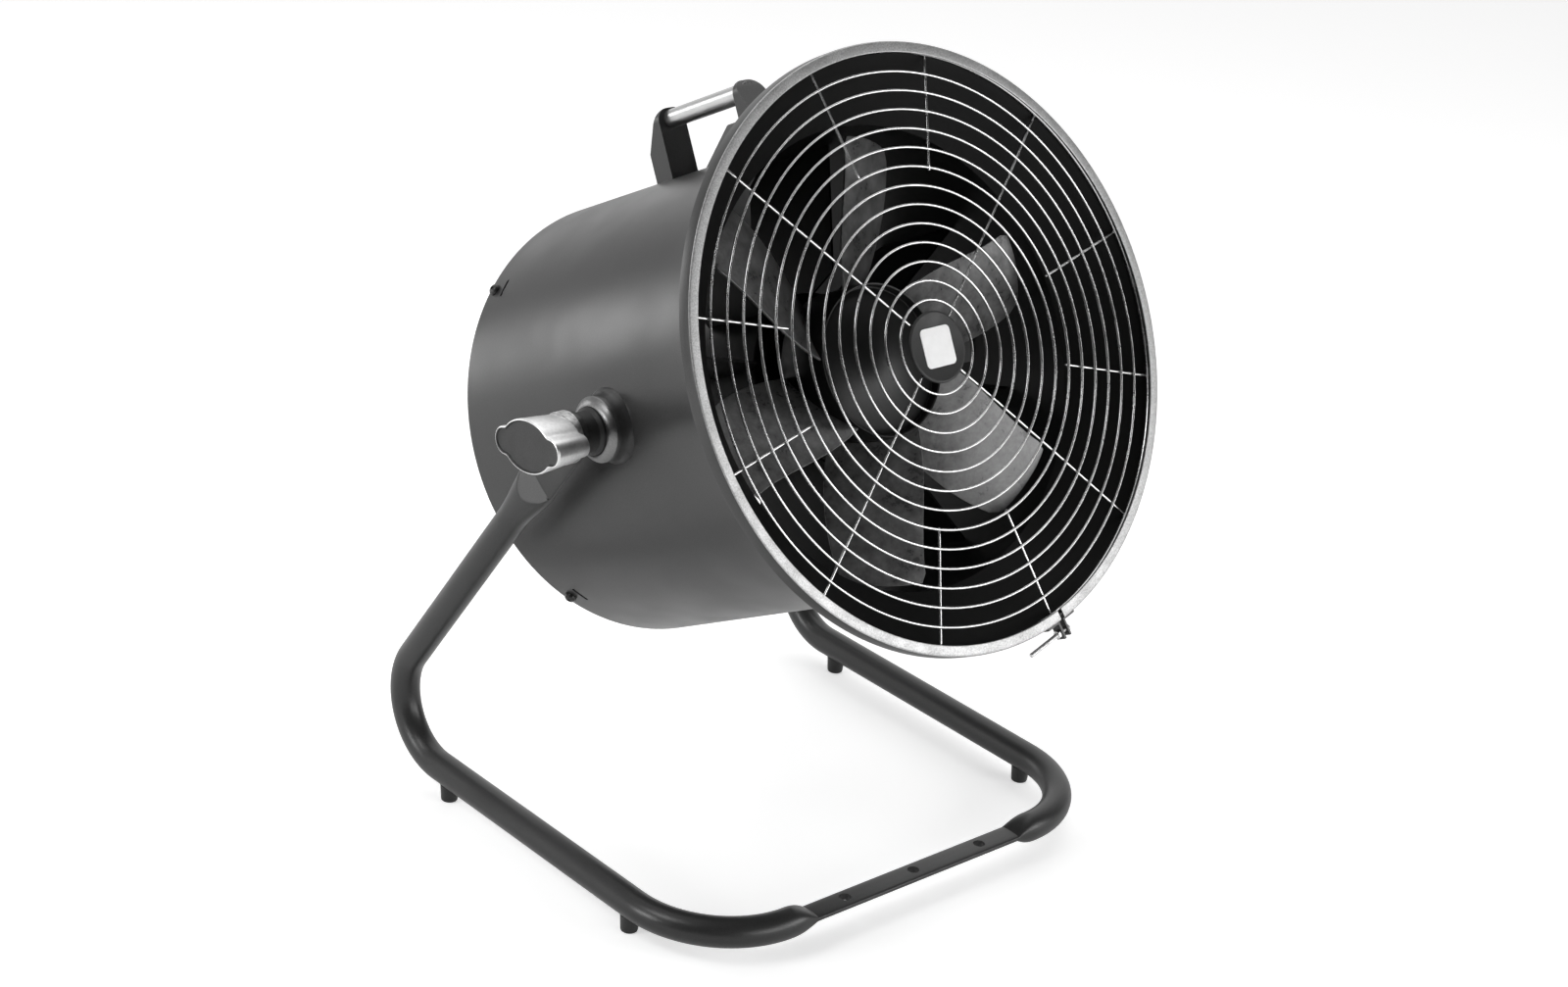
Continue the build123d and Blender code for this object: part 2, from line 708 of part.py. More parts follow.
def guide_vane(index):
    """Flat plate that carries the motor in the drum and straightens the air."""
    edge = DRUM_IN_R - VANE_GAP
    outline = Polyline(
        (MOTOR_R - PAST, 0, VANE_BACK),
        (edge - VANE_CORNER, 0, VANE_BACK),
        (edge, 0, VANE_BACK + VANE_CORNER),
        (edge, 0, VANE_FRONT),
        (MOTOR_R + VANE_CORNER, 0, VANE_FRONT),
        (MOTOR_R - PAST, 0, MOTOR_FRONT - VANE_CORNER),
        close=True,
    )
    plate = extrude(make_face(outline), VANE_THICK / 2, both=True)
    plate -= rod(MOTOR_R, VANE_BACK - PAST, VANE_FRONT + PAST)
    return Rot(0, 0, VANE_FIRST + 360 / VANE_COUNT * index) * plate


# ---------------------------------------------------------------- impeller


def blade_point(reach, chord):
    """A point of the blade's front face: reach 0 hub to 1 tip, chord 0 trailing to 1 leading."""
    root = HUB_R - BLADE_ROOT
    radius = root + reach * (TIP_R + BLADE_ROOT - root)
    trailing_angle = 25 * (1 - reach) ** 2
    leading_angle = -30 + 9.5 * reach**2
    trailing_station = HUB_FRONT + 7 + 4 * reach
    leading_station = HUB_BACK + 3 + 26 * reach**1.3
    bow = (2 + 2 * reach) * 4 * chord * (1 - chord)
    angle = radians(trailing_angle + chord * (leading_angle - trailing_angle))
    station = trailing_station + chord * (leading_station - trailing_station) + bow
    return Vector(radius * cos(angle), radius * sin(angle), station)


def blade_blank():
    """Twisted sheet blade, trimmed to the hub and to the tip circle."""
    grid = [[blade_point(i / 4, j / 4) for j in range(5)] for i in range(5)]
    face = Face.make_surface_from_array_of_points(grid)
    sheet = Solid.thicken(face, BLADE_THICK)
    back = HUB_BACK - 4 * PAST
    front = HUB_FRONT + 8 * PAST
    return sheet & (rod(TIP_R, back, front) - rod(HUB_R, back - PAST, front + PAST))


def blade(index, blank):
    """One blade, turned to its place on the hub."""
    return Rot(0, 0, BLADE_FIRST + 360 / BLADE_COUNT * index) * blank


def impeller_hub():
    """Cup-shaped hub, open at the back, with a sleeve on the shaft and a lip round the nose."""
    web_back = HUB_FRONT - HUB_WEB
    lip_front = HUB_FRONT + HUB_LIP
    sleeve_r = SHAFT_R + SLEEVE_WALL
    return on_axis(
        (HUB_R - HUB_WALL, HUB_BACK),
        (HUB_R, HUB_BACK),
        (HUB_R, lip_front),
        (HUB_R - HUB_LIP_WALL, lip_front),
        (HUB_R - HUB_LIP_WALL, HUB_FRONT),
        (SHAFT_R, HUB_FRONT),
        (SHAFT_R, HUB_BACK + HUB_WALL),
        (sleeve_r, HUB_BACK + HUB_WALL),
        (sleeve_r, web_back),
        (HUB_R - HUB_WALL, web_back),
    )


def nose_cap():
    """Domed cap in front of the hub, turned in short straight steps along a ball."""
    ball = (NOSE_R**2 + NOSE_RISE**2) / (2 * NOSE_RISE)
    spread = atan2(NOSE_R, ball - NOSE_RISE)
    crown = []
    for step in range(NOSE_STEPS + 1):
        angle = spread * (1 - step / NOSE_STEPS)
        crown.append((ball * sin(angle), HUB_FRONT + NOSE_RISE - ball * (1 - cos(angle))))
    return on_axis((0, HUB_FRONT), *crown)


def motor_shaft():
    """Shaft from the motor's rear bearing to the hub."""
    return rod(SHAFT_R, MOTOR_BACK - CAP_THICK, HUB_FRONT)


# ---------------------------------------------------------------- control box


def box_frame(shape):
    """Moves a shape drawn as (side, out, station) to the control box's place on the drum."""
    return Rot(0, 0, BOX_ANGLE - 90) * shape


def box_slab(bottom, top):
    """The control box's outline between two heights, with round corners."""
    width = BOX_LOWER_SIDE - BOX_UPPER_SIDE
    middle = Pos(
        (BOX_LOWER_SIDE + BOX_UPPER_SIDE) / 2, (bottom + top) / 2, (BOX_BACK + BOX_FRONT) / 2
    )
    slab = middle * Box(width, top - bottom, BOX_FRONT - BOX_BACK)
    return fillet(slab.edges().filter_by(Axis.Y), BOX_CORNER)


def control_box():
    """Box saddled to the drum, with openings for the dial, the rocker and the inlet."""
    box = box_slab(DRUM_R - BOX_SKIRT, BOX_TOP) - rod(DRUM_R, BOX_BACK - PAST, BOX_FRONT + PAST)
    dial = Pos(DIAL_SIDE, CONTROL_HEIGHT, BOX_BACK)
    rocker = Pos(ROCKER_SIDE, CONTROL_HEIGHT, BOX_BACK)
    inlet = Pos(INLET_SIDE, CONTROL_HEIGHT, BOX_BACK)
    box -= dial * Cylinder(SPINDLE_R + RUNNING, 2 * (SPINDLE_LENGTH + 1))
    box -= rocker * Box(ROCKER_WIDTH + 2 * ROCKER_GAP, 2 * (ROCKER_HALF + ROCKER_GAP), 26)
    box -= inlet * Box(INLET_WIDTH, INLET_HEIGHT, 2 * INLET_DEPTH)
    return box_frame(box)


def control_lid():
    """Plate on top of the control box."""
    return box_frame(box_slab(BOX_TOP, BOX_TOP + LID_THICK))


def speed_dial():
    """Round speed dial with a spindle and a pointer ridge."""
    cap = rod(DIAL_R - 1.5, -DIAL_DEPTH, 0) + rod(DIAL_R, -DIAL_DEPTH / 2, 0)
    ridge = Pos(0, DIAL_R / 2, -DIAL_DEPTH) * Box(1.6, DIAL_R - 4, 2)
    dial = Pos(0, 0, -2 * LOOSE) * (cap + ridge) + rod(SPINDLE_R, -1, SPINDLE_LENGTH)
    return box_frame(Pos(DIAL_SIDE, CONTROL_HEIGHT, BOX_BACK) * dial)


def power_rocker():
    """Rocker with two slanted faces, on a pin across the control box's opening."""
    outline = Polyline(
        (0, -ROCKER_HALF, -2.2),
        (0, 0, -1.8),
        (0, ROCKER_HALF, -5.2),
        (0, 6.0, 5.0),
        (0, -6.0, 5.0),
        close=True,
    )
    body = extrude(make_face(outline), ROCKER_WIDTH / 2, both=True)
    pin = Rot(0, 90, 0) * Cylinder(1.5, ROCKER_WIDTH + ROCKER_GAP)
    return box_frame(Pos(ROCKER_SIDE, CONTROL_HEIGHT, BOX_BACK) * (body + pin))


def power_inlet():
    """Appliance inlet: a flanged socket with three contact blades."""
    wall = 2.9
    flange = Pos(0, 0, -INLET_FLANGE / 2) * Box(
        INLET_WIDTH + 4, INLET_HEIGHT + 2, INLET_FLANGE
    )
    body = Pos(0, 0, (INLET_DEPTH - LOOSE) / 2) * Box(
        INLET_WIDTH - LOOSE, INLET_HEIGHT - LOOSE, INLET_DEPTH - LOOSE
    )
    cavity = Box(INLET_WIDTH - 2 * wall, INLET_HEIGHT - 2 * wall, 2 * (INLET_DEPTH - wall))
    socket = flange + body - cavity
    for x in (-7, 0, 7):
        socket += Pos(x, 0, INLET_DEPTH / 2) * Box(2, 4, INLET_DEPTH - wall)
    return box_frame(Pos(INLET_SIDE, CONTROL_HEIGHT, BOX_BACK) * socket)


# ---------------------------------------------------------------- the fan

nodes = {"stand_frame": stand_frame()}
for name, place in zip(
    ("foot_front_left", "foot_front_right", "foot_rear_left", "foot_rear_right"),
    foot_places(),
):
    nodes[name] = foot(*place)

nodes["drum_shell"] = on_drum(drum_shell())
nodes["front_grille"] = on_drum(front_grille())
nodes["centre_disc"] = on_drum(centre_disc())
nodes["centre_label"] = on_drum(centre_label())
nodes["clamp_ring"] = on_drum(clamp_ring())
nodes["clamp_tab_right"] = on_drum(clamp_tab(1))
nodes["clamp_tab_left"] = on_drum(clamp_tab(-1))
nodes["clamp_screw"] = on_drum(clamp_screw())
nodes["rear_grille"] = on_drum(rear_grille())
nodes["rear_screws"] = on_drum(rear_screws())
nodes["handle_tube"] = on_drum(handle_tube())
nodes["handle_bracket_rear"] = on_drum(handle_bracket(HANDLE_BACK, -1))
nodes["handle_bracket_front"] = on_drum(handle_bracket(HANDLE_FRONT, 1))
nodes["handle_screws"] = on_drum(handle_screws())

for name, piece in (
    ("pivot_dish", pivot_dish()),
    ("pivot_washer", pivot_washer()),
    ("pivot_stud", pivot_stud()),
    ("knob", knob()),
):
    nodes[name + "_left"], nodes[name + "_right"] = both_sides(piece)

nodes["motor_housing"] = on_drum(motor_housing())
nodes["motor_cap_front"] = on_drum(motor_cap(MOTOR_FRONT, 1))
nodes["motor_cap_rear"] = on_drum(motor_cap(MOTOR_BACK, -1))
nodes["motor_bolts"] = on_drum(motor_bolts())
for index in range(VANE_COUNT):
    nodes[f"guide_vane_{index + 1}"] = on_drum(guide_vane(index))

nodes["motor_shaft"] = on_drum(motor_shaft())
nodes["impeller_hub"] = on_drum(impeller_hub())
nodes["nose_cap"] = on_drum(nose_cap())
blank = blade_blank()
for index in range(BLADE_COUNT):
    nodes[f"blade_{index + 1}"] = on_drum(blade(index, blank))

nodes["control_box"] = on_drum(control_box())
nodes["control_lid"] = on_drum(control_lid())
nodes["speed_dial"] = on_drum(speed_dial())
nodes["power_rocker"] = on_drum(power_rocker())
nodes["power_inlet"] = on_drum(power_inlet())

os.makedirs("parts", exist_ok=True)
for name, shape in nodes.items():
    export_step(shape, f"parts/{name}.step")
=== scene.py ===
from math import asin, atan2, cos, pi, radians, sin, sqrt, tan

import bmesh
import bpy
from mathutils import Matrix, Vector

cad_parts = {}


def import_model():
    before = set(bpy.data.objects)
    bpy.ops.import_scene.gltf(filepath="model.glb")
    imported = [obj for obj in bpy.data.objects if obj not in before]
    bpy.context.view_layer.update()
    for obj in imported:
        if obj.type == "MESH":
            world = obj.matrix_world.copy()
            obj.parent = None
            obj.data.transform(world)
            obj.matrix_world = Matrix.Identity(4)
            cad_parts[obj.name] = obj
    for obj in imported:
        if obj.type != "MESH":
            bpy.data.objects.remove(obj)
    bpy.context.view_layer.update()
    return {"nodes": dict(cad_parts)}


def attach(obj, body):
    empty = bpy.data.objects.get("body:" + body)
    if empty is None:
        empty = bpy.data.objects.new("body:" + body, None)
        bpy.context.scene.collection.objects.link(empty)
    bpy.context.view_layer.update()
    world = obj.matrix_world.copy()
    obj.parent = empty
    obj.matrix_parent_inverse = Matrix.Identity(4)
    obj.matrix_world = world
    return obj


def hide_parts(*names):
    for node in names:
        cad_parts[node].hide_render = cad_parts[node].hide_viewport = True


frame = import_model()

# ---------------------------------------------------------------- sizes

# Sizes are in millimetres, in the CAD model's frame, and MM turns them into metres.
MM = 0.001

# Tilt axis, and how far the drum leans back
PIVOT_Y = 10.65
PIVOT_Z = 380.4
TILT = radians(28.46)

# Drum: a station is a distance along its axis, growing towards the mouth
DRUM_R = 183.0
SHEET = 1.5
DRUM_IN_R = DRUM_R - SHEET
REAR = -189.2
CONE_START = 130.0
CONE_END = 174.0
MOUTH_R = DRUM_R + 46.5
LIP_R = MOUTH_R + 3.5
# Rings of points along the straight wall, which keep its shading even
SHELL_RINGS = (REAR + 60.0, -60.0, 60.0)
SLOT_STATION = REAR + 21.2
SLOT_LENGTH = 17.0
SLOT_WIDTH = 3.0
SLOT_CUT = 8.0
# Angles of the rear slots, of the screws behind them and of the guard's spokes
REAR_ANGLES = (45, 135, 225, 315)

# Front grille, with its middle disc and plate
WIRE_R = 1.05
RING_FIRST = 36.3
RING_PITCH = 14.7
RING_COUNT = 13
RIM_WIRE_R = MOUTH_R - 0.3
RIM_WIRE = 4.4
DOME_R = RIM_WIRE_R - 1.8
DOME_RISE = 3.1
GRILLE_STATION = CONE_END + 3.8
SPOKE_COUNT = 12
SPOKE_FIRST = 14
# Angles of the spokes that run on to the disc
LONG_SPOKES = (44, 134, 224, 314)
SHORT_SPOKE_R = 138.0
SPOKE_END_R = RIM_WIRE_R - 1.5
DISC_R = 28.0
DISC_BACK = 180.5
DISC_THICK = 1.6
DISC_LIP = 0.5
LABEL_HALF = 15.25
LABEL_CORNER = 4.0
LABEL_THICK = 0.8

# Rear guard and its screws
REAR_WIRE_R = 1.5
REAR_RING_FIRST = 23.0
REAR_RING_PITCH = 19.2
REAR_RING_COUNT = 9
REAR_GRILLE_STATION = REAR + 2.2
REAR_END_R = DRUM_IN_R - 0.2
REAR_SPOKE_BACK = REAR_GRILLE_STATION + 0.6
REAR_SPOKE_DEPTH = 5.5
REAR_TAB_THICK = 2.0
REAR_TAB_WIDTH = 12.0
REAR_CORNER = 0.4
SCREW_STATION = REAR + 8.2
SCREW_R = 2.4
SCREW_HEAD_R = 5.0
SCREW_HEAD = 4.2
SCREW_SOCKET_R = 1.9
SCREW_SOCKET = 2.0

# Clamp ring, its opening and its long screw
CLAMP_IN_R = MOUTH_R - 2.8
CLAMP_R = LIP_R + 2.3
CLAMP_FRONT = CONE_END + 8.8
CLAMP_BACK = CONE_END - 3.0
CLAMP_GAP_ANGLE = radians(-75.0)
CLAMP_GAP = 4.5
TAB_HEIGHT = 15.0
TAB_THICK = 2.0
TAB_DEPTH = CLAMP_FRONT - CLAMP_BACK - 3.0
TAB_HOLE_R = CLAMP_R + TAB_HEIGHT - 5.0
CLAMP_SCREW_LENGTH = 44.0
CLAMP_SCREW_R = 1.9
CLAMP_HEAD_R = 3.6
CLAMP_HEAD = 2.6
CLAMP_GROOVE_R = 1.6
CLAMP_GROOVE = 1.4
THREAD_PITCH = 1.0
THREAD_DEPTH = 0.35

# Handle grip
HANDLE_R = 7.8
HANDLE_HEIGHT = DRUM_R + 48.0
HANDLE_BACK = -64.5
HANDLE_FRONT = 34.0
GRIP_SINK = 3.5
# Rings of points this far inside the grip's ends, which keep its shading even
GRIP_RINGS = 8.0

# Pivots, outwards from the drum wall: dish, washer, arm, knob
STUD_R = 6.0
DISH_R = 28.0
DISH_FOOT = DRUM_R - 2.6
DISH_FACE = DRUM_R + 7.0
DISH_RIM = DRUM_R + 18.0
DISH_CROWN = 5.0
WASHER_R = 19.0
WASHER_STEP_R = 16.5
WASHER_STEP = DISH_FACE + 15.0
WASHER_END = DISH_FACE + 26.15
# Room round a washer in its dish, in its bore and behind it
WASHER_ROOM = 0.2
WASHER_PLAY = 0.1

# Stand: one tube, flattened at the arm tips and along the crossbar
TUBE_R = 12.5
FLAT_THICK = 5.5
FLAT_WIDTH = 38.0
# Room on both sides of an arm's tip, and round the stud in its hole
ARM_ROOM = 0.3
STAND_X = WASHER_END + ARM_ROOM + FLAT_THICK / 2
RAIL_Z = TUBE_R + 12.6
ARM_SLOPE = radians(55.0)
ARM_BEND_R = 54.0
ARM_FLAT = 61.0
ARM_CREASE = 84.0
ARM_ROUND = 118.0
# Half the squashed tube's thickness where its slopes begin
CREASE_HALF = 10.2
CORNER_BEND_R = 85.0
CROSSBAR_Y = PIVOT_Y - 201.0
BAR_HALF = 112.0
BAR_WIDTH = 21.0
BAR_THICK = 6.0
BAR_HOLE_R = 5.0
BAR_HOLE_PITCH = 75.0
FOOT_Y = (-110.4, 130.1)
FOOT_SOLE_R = 7.1
FOOT_TOP_R = 8.4
FOOT_HOLD = 2.6

# Section shape of the tube: 2 is round, larger is squarer
ROUND = 2.0
SQUASHED = 2.3
FLAT = 5.0

# Knobs: an oval with two ears
COLLAR_R = 20.6
ARM_FACE = STAND_X + FLAT_THICK / 2
KNOB_BACK = ARM_FACE + 8.55
KNOB_FACE = KNOB_BACK + 32.0
KNOB_LONG = 31.0
KNOB_SHORT = 21.5
KNOB_TURN = radians(10.6)
EAR_REACH = 28.5
EAR_R = 11.5
EAR_BLEND = 24

# Impeller
HUB_R = 61.0
HUB_IN_R = 57.0
HUB_BACK = 68.0
HUB_FRONT = 110.0
HUB_RIM = 8.0
HUB_FLOOR = 6.0
SHAFT_HOLE_R = 8.2
NOSE_R = HUB_R - 3.0
NOSE_RISE = 17.0
TIP_R = DRUM_IN_R - 6.0
BLADE_COUNT = 6
BLADE_FIRST = 26.0
BLADE_THICK = 2.0
BLADE_ROOT = 4.0
# Shares of the half chord and of the reach that a blade's rounded tip corners take
CORNER_CHORD = 0.18
CORNER_REACH = 0.06

# A small step that eases an edge, and how far a cutter runs past what it cuts
EASE = 0.5
PAST = 20.0

# Frames in which pieces are drawn
FLOOR = Matrix.Scale(MM, 4)
PIVOT = FLOOR @ Matrix.Translation((0, PIVOT_Y, PIVOT_Z))
# The drum's own frame: X right, Y up, Z forward along the air flow
DRUM = PIVOT @ Matrix(
    ((1, 0, 0, 0), (0, sin(TILT), -cos(TILT), 0), (0, cos(TILT), sin(TILT), 0), (0, 0, 0, 1))
)
# The two ends of the tilt axis: Z runs outwards along it
LEFT = PIVOT @ Matrix(((0, 0, -1, 0), (-1, 0, 0, 0), (0, 1, 0, 0), (0, 0, 0, 1)))
RIGHT = Matrix.Scale(-1, 4, (1, 0, 0)) @ LEFT
SIDES = (("left", LEFT), ("right", RIGHT))

# Viewpoint, worked out from the photograph's perspective: directions, place in metres, lens
CAMERA_RIGHT = Vector((0.74657, -0.65935, 0.08890))
CAMERA_FORWARD = Vector((0.63189, 0.66088, -0.40491))
CAMERA_PLACE = (-1549.6 * MM, (PIVOT_Y - 1628.8) * MM, 1278.3 * MM)
LENS = 69.15
SENSOR = 36.0

# Soft boxes: name, place, aim and size in metres, and power in watts
LAMPS = (
    ("overhead", (0.5, 0.7, 2.6), (0, 0, 0.3), (2.6, 2.0), 14),
    ("upper_left", (-1.9, 0.4, 2.4), (0, 0, 0.3), (1.0, 1.0), 18),
    ("left", (-2.6, 0.7, 0.8), (0, 0, 0.3), (0.8, 0.8), 20),
    ("back_left", (-1.15, 2.4, 0.55), (0, 0, 0.4), (0.8, 0.8), 8),
    ("front", (0.2, -2.8, 0.75), (0, 0, 0.35), (1.6, 1.0), 22),
    ("front_right", (1.6, -2.3, 0.9), (0, 0, 0.35), (1.2, 1.0), 26),
)

# Brightness of the room that the fan reflects, and of the floor
ROOM_FRONT = 0.06
ROOM_BACK = 1.15
ROOM_LEFT = 0.45
ROOM_RIGHT = 1.0
FLOOR_LEVEL = 0.86
# The floor glows for the camera, and for reflections it glows by this share
FLOOR_GLOW = 0.5
GLOW_REFLECTED = 0.5
FLOOR_SIZE = 30

# Tone and width of the lighter paint along edges: worn paint on most pieces, and a painted highlight
# on the hub's rim
WEAR_AND_HIGHLIGHT_LEVEL = 0.3
WEAR_AND_HIGHLIGHT_WIDTH = 0.7


# ---------------------------------------------------------------- materials


def node_material(name, level, metallic, roughness):
    """A new Principled material of one grey, and its node tree and shader."""
    made = bpy.data.materials.new(name)
    made.use_nodes = True
    shader = made.node_tree.nodes["Principled BSDF"]
    shader.inputs["Base Color"].default_value = (level, level, level, 1)
    shader.inputs["Metallic"].default_value = metallic
    shader.inputs["Roughness"].default_value = roughness
    return made, made.node_tree, shader


def object_noise(tree, scale, detail, rough=0.6):
    """Noise in the piece's own coordinates; scale is in bumps per metre."""
    coords = tree.nodes.new("ShaderNodeTexCoord")
    noise = tree.nodes.new("ShaderNodeTexNoise")
    noise.inputs["Scale"].default_value = scale
    noise.inputs["Detail"].default_value = detail
    noise.inputs["Roughness"].default_value = rough
    tree.links.new(coords.outputs["Object"], noise.inputs["Vector"])
    return noise


def ramp_between(tree, source, low, high, low_at=0.35, high_at=0.65):
    """Maps a signal onto the range from low to high."""
    ramp = tree.nodes.new("ShaderNodeMapRange")
    ramp.inputs["From Min"].default_value = low_at
    ramp.inputs["From Max"].default_value = high_at
    ramp.inputs["To Min"].default_value = low
    ramp.inputs["To Max"].default_value = high
    tree.links.new(source, ramp.inputs["Value"])
    return ramp.outputs["Result"]


def drive(tree, noise, socket, low, high, **where):
    """Lets noise move one of the shader's inputs between two values."""
    tree.links.new(ramp_between(tree, noise.outputs["Fac"], low, high, **where), socket)


def edge_wear_and_highlight(tree):
    """A mask that is 1 on outer edges and 0 on faces."""
    bevel = tree.nodes.new("ShaderNodeBevel")
    bevel.samples = 4
    bevel.inputs["Radius"].default_value = WEAR_AND_HIGHLIGHT_WIDTH * MM
    geometry = tree.nodes.new("ShaderNodeNewGeometry")
    dot = tree.nodes.new("ShaderNodeVectorMath")
    dot.operation = "DOT_PRODUCT"
    tree.links.new(bevel.outputs["Normal"], dot.inputs[0])
    tree.links.new(geometry.outputs["Normal"], dot.inputs[1])
    return ramp_between(tree, dot.outputs["Value"], 1.0, 0.0, low_at=0.86, high_at=0.99)


def bump_from(tree, shader, noise, strength, height):
    """Adds a fine relief of the given height in millimetres."""
    bump = tree.nodes.new("ShaderNodeBump")
    bump.inputs["Strength"].default_value = strength
    bump.inputs["Distance"].default_value = height * MM
    tree.links.new(noise.outputs["Fac"], bump.inputs["Height"])
    tree.links.new(bump.outputs["Normal"], shader.inputs["Normal"])


def powder_coat(name, level, roughness, wear_and_highlight=0.25, shine=0.5):
    """Fine-grained powder coat, lighter along its edges: worn paint, and where the lightening is
    strong, as on the hub's rim, a painted highlight.
    """
    made, tree, shader = node_material(name, level, 0.0, roughness)
    shader.inputs["Specular IOR Level"].default_value = shine
    grains = object_noise(tree, 1500, detail=3)
    tone = ramp_between(tree, grains.outputs["Fac"], level * 0.75, level * 1.3)
    # Edges blend towards the lighter tone: worn paint, and on the hub a painted highlight
    blend = tree.nodes.new("ShaderNodeMix")
    blend.data_type = "FLOAT"
    tree.links.new(edge_wear_and_highlight(tree), blend.inputs["Factor"])
    tree.links.new(tone, blend.inputs["A"])
    blend.inputs["B"].default_value = level + wear_and_highlight * (WEAR_AND_HIGHLIGHT_LEVEL - level)
    tree.links.new(blend.outputs["Result"], shader.inputs["Base Color"])
    cloud = object_noise(tree, 12, detail=2)
    drive(tree, cloud, shader.inputs["Roughness"], roughness - 0.04, roughness + 0.04)
    bump_from(tree, shader, grains, strength=0.35, height=0.05)
    return made


def metal(name, level, roughness, grain, relief, spread=0.12):
    """Bare metal with grain in its tone and surface, and slightly cloudy."""
    made, tree, shader = node_material(name, level, 1.0, roughness)
    grains = object_noise(tree, grain, detail=4)
    lightest = min(1, level * (1 + spread))
    drive(tree, grains, shader.inputs["Base Color"], level * (1 - spread), lightest)
    cloud = object_noise(tree, 60, detail=3)
    drive(tree, cloud, shader.inputs["Roughness"], roughness - 0.05, roughness + 0.06)
    bump_from(tree, shader, grains, strength=0.25, height=relief)
    return made


def rolled_sheet(name, dark, light, roughness):
    """Half-bright sheet metal with a cloudy finish, as on the fan blades."""
    made, tree, shader = node_material(name, dark, 0.5, roughness)
    cloud = object_noise(tree, 45, detail=8, rough=0.75)
    drive(tree, cloud, shader.inputs["Base Color"], dark, light, low_at=0.3, high_at=0.7)
    drive(tree, cloud, shader.inputs["Roughness"], roughness - 0.08, roughness + 0.1)
    bump_from(tree, shader, object_noise(tree, 900, detail=3), strength=0.3, height=0.04)
    return made


def moulded(name, level, roughness, grain=900, relief=0.05, spread=0.2):
    """Moulded rubber or plastic."""
    made, tree, shader = node_material(name, level, 0.0, roughness)
    grains = object_noise(tree, grain, detail=3)
    drive(tree, grains, shader.inputs["Base Color"], level * (1 - spread), level * (1 + spread))
    cloud = object_noise(tree, 40, detail=2)
    drive(tree, cloud, shader.inputs["Roughness"], roughness - 0.06, roughness + 0.06)
    bump_from(tree, shader, grains, strength=0.3, height=relief)
    return made


DARK = powder_coat("dark_powder_coat", 0.028, 0.33)
STAND_PAINT = powder_coat("stand_paint", 0.022, 0.36, wear_and_highlight=0.06, shine=0.46)
# The drum's own paint made darker and duller inside: painted shade
INSIDE_PAINTED_SHADE = powder_coat("drum_inside_painted_shade", 0.003, 0.5, wear_and_highlight=0.0, shine=0.15)
# Its edges are lightened strongly: a painted highlight on the hub's rolled rim
HUB_PAINT = powder_coat("hub_paint", 0.008, 0.4, wear_and_highlight=0.4, shine=0.3)
WIRE_STEEL = metal("satin_wire_steel", 0.62, 0.24, grain=500, relief=0.002, spread=0.03)
RING_STEEL = metal("speckled_ring_face", 0.44, 0.52, grain=900, relief=0.06, spread=0.25)
CAST = metal("cast_alloy", 0.78, 0.4, grain=420, relief=0.03, spread=0.08)
ROUGH_CAST = metal("rough_cast_alloy", 0.5, 0.42, grain=260, relief=0.4, spread=0.4)
KNOB_FACE_PAINT = metal("knob_face", 0.07, 0.5, grain=900, relief=0.05)
BRIGHT = metal("zinc_plated_steel", 0.75, 0.42, grain=600, relief=0.02)
GRIP_STEEL = metal("satin_grip", 0.56, 0.36, grain=60, relief=0.0005, spread=0.04)
# The dish's crown is drum paint drawn as brighter metal: a painted highlight
DISH_CROWN_PAINTED_HIGHLIGHT = metal("dish_crown_painted_highlight", 0.2, 0.36, grain=900, relief=0.05)
BLADE = rolled_sheet("rolled_blade_sheet", 0.05, 0.21, 0.32)
RUBBER = moulded("black_rubber", 0.01, 0.5)
BLACK = moulded("black_plastic", 0.012, 0.55)
BLACK_STEEL = moulded("black_coated_steel", 0.015, 0.35, grain=1500, relief=0.02)
PLATE = moulded("white_plate", 0.92, 0.35, grain=200, relief=0.002, spread=0.02)


# ---------------------------------------------------------------- mesh tools


def piece(name, bm, matrix, materials, body, replaced=(), bevel=0.0, angle=32.0):
    """Turns a bmesh drawn in millimetres into a finished piece that rides on a body."""
    bmesh.ops.transform(bm, matrix=matrix, verts=bm.verts)
    bmesh.ops.recalc_face_normals(bm, faces=bm.faces)
    mesh = bpy.data.meshes.new(name)
    bm.to_mesh(mesh)
    bm.free()
    mesh.shade_smooth()
    mesh.set_sharp_from_angle(angle=radians(angle))
    for material in materials:
        mesh.materials.append(material)
    made = bpy.data.objects.new(name, mesh)
    bpy.context.scene.collection.objects.link(made)
    if bevel:
        rounding = made.modifiers.new("rounding", "BEVEL")
        rounding.width = bevel * MM
        rounding.segments = 2
        rounding.limit_method = "ANGLE"
        rounding.angle_limit = radians(angle)
        rounding.harden_normals = True
    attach(made, body)
    if replaced:
        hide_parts(*replaced)
    return made


def softened(node, material, body, bevel, angle=25.0):
    """A CAD node's own shape as a new piece with its edges eased."""
    source = frame["nodes"][node]
    bm = bmesh.new()
    bm.from_mesh(source.data)
    bmesh.ops.transform(bm, matrix=source.matrix_world, verts=bm.verts)
    bmesh.ops.remove_doubles(bm, verts=bm.verts, dist=0.002 * MM)
    bmesh.ops.dissolve_limit(bm, angle_limit=radians(1.0), verts=bm.verts, edges=bm.edges)
    return piece("soft_" + node, bm, Matrix(), (material,), body, (node,), bevel, angle)


def skin(bm, loops, closed_path=False):
    """Faces between successive loops of vertices with equal counts, with flat ends."""
    pairs = list(zip(loops, loops[1:]))
    if closed_path:
        pairs.append((loops[-1], loops[0]))
    for a, b in pairs:
        for j in range(len(a)):
            k = (j + 1) % len(a)
            bm.faces.new((a[j], a[k], b[k], b[j]))
    if not closed_path:
        bm.faces.new(reversed(loops[0]))
        bm.faces.new(loops[-1])


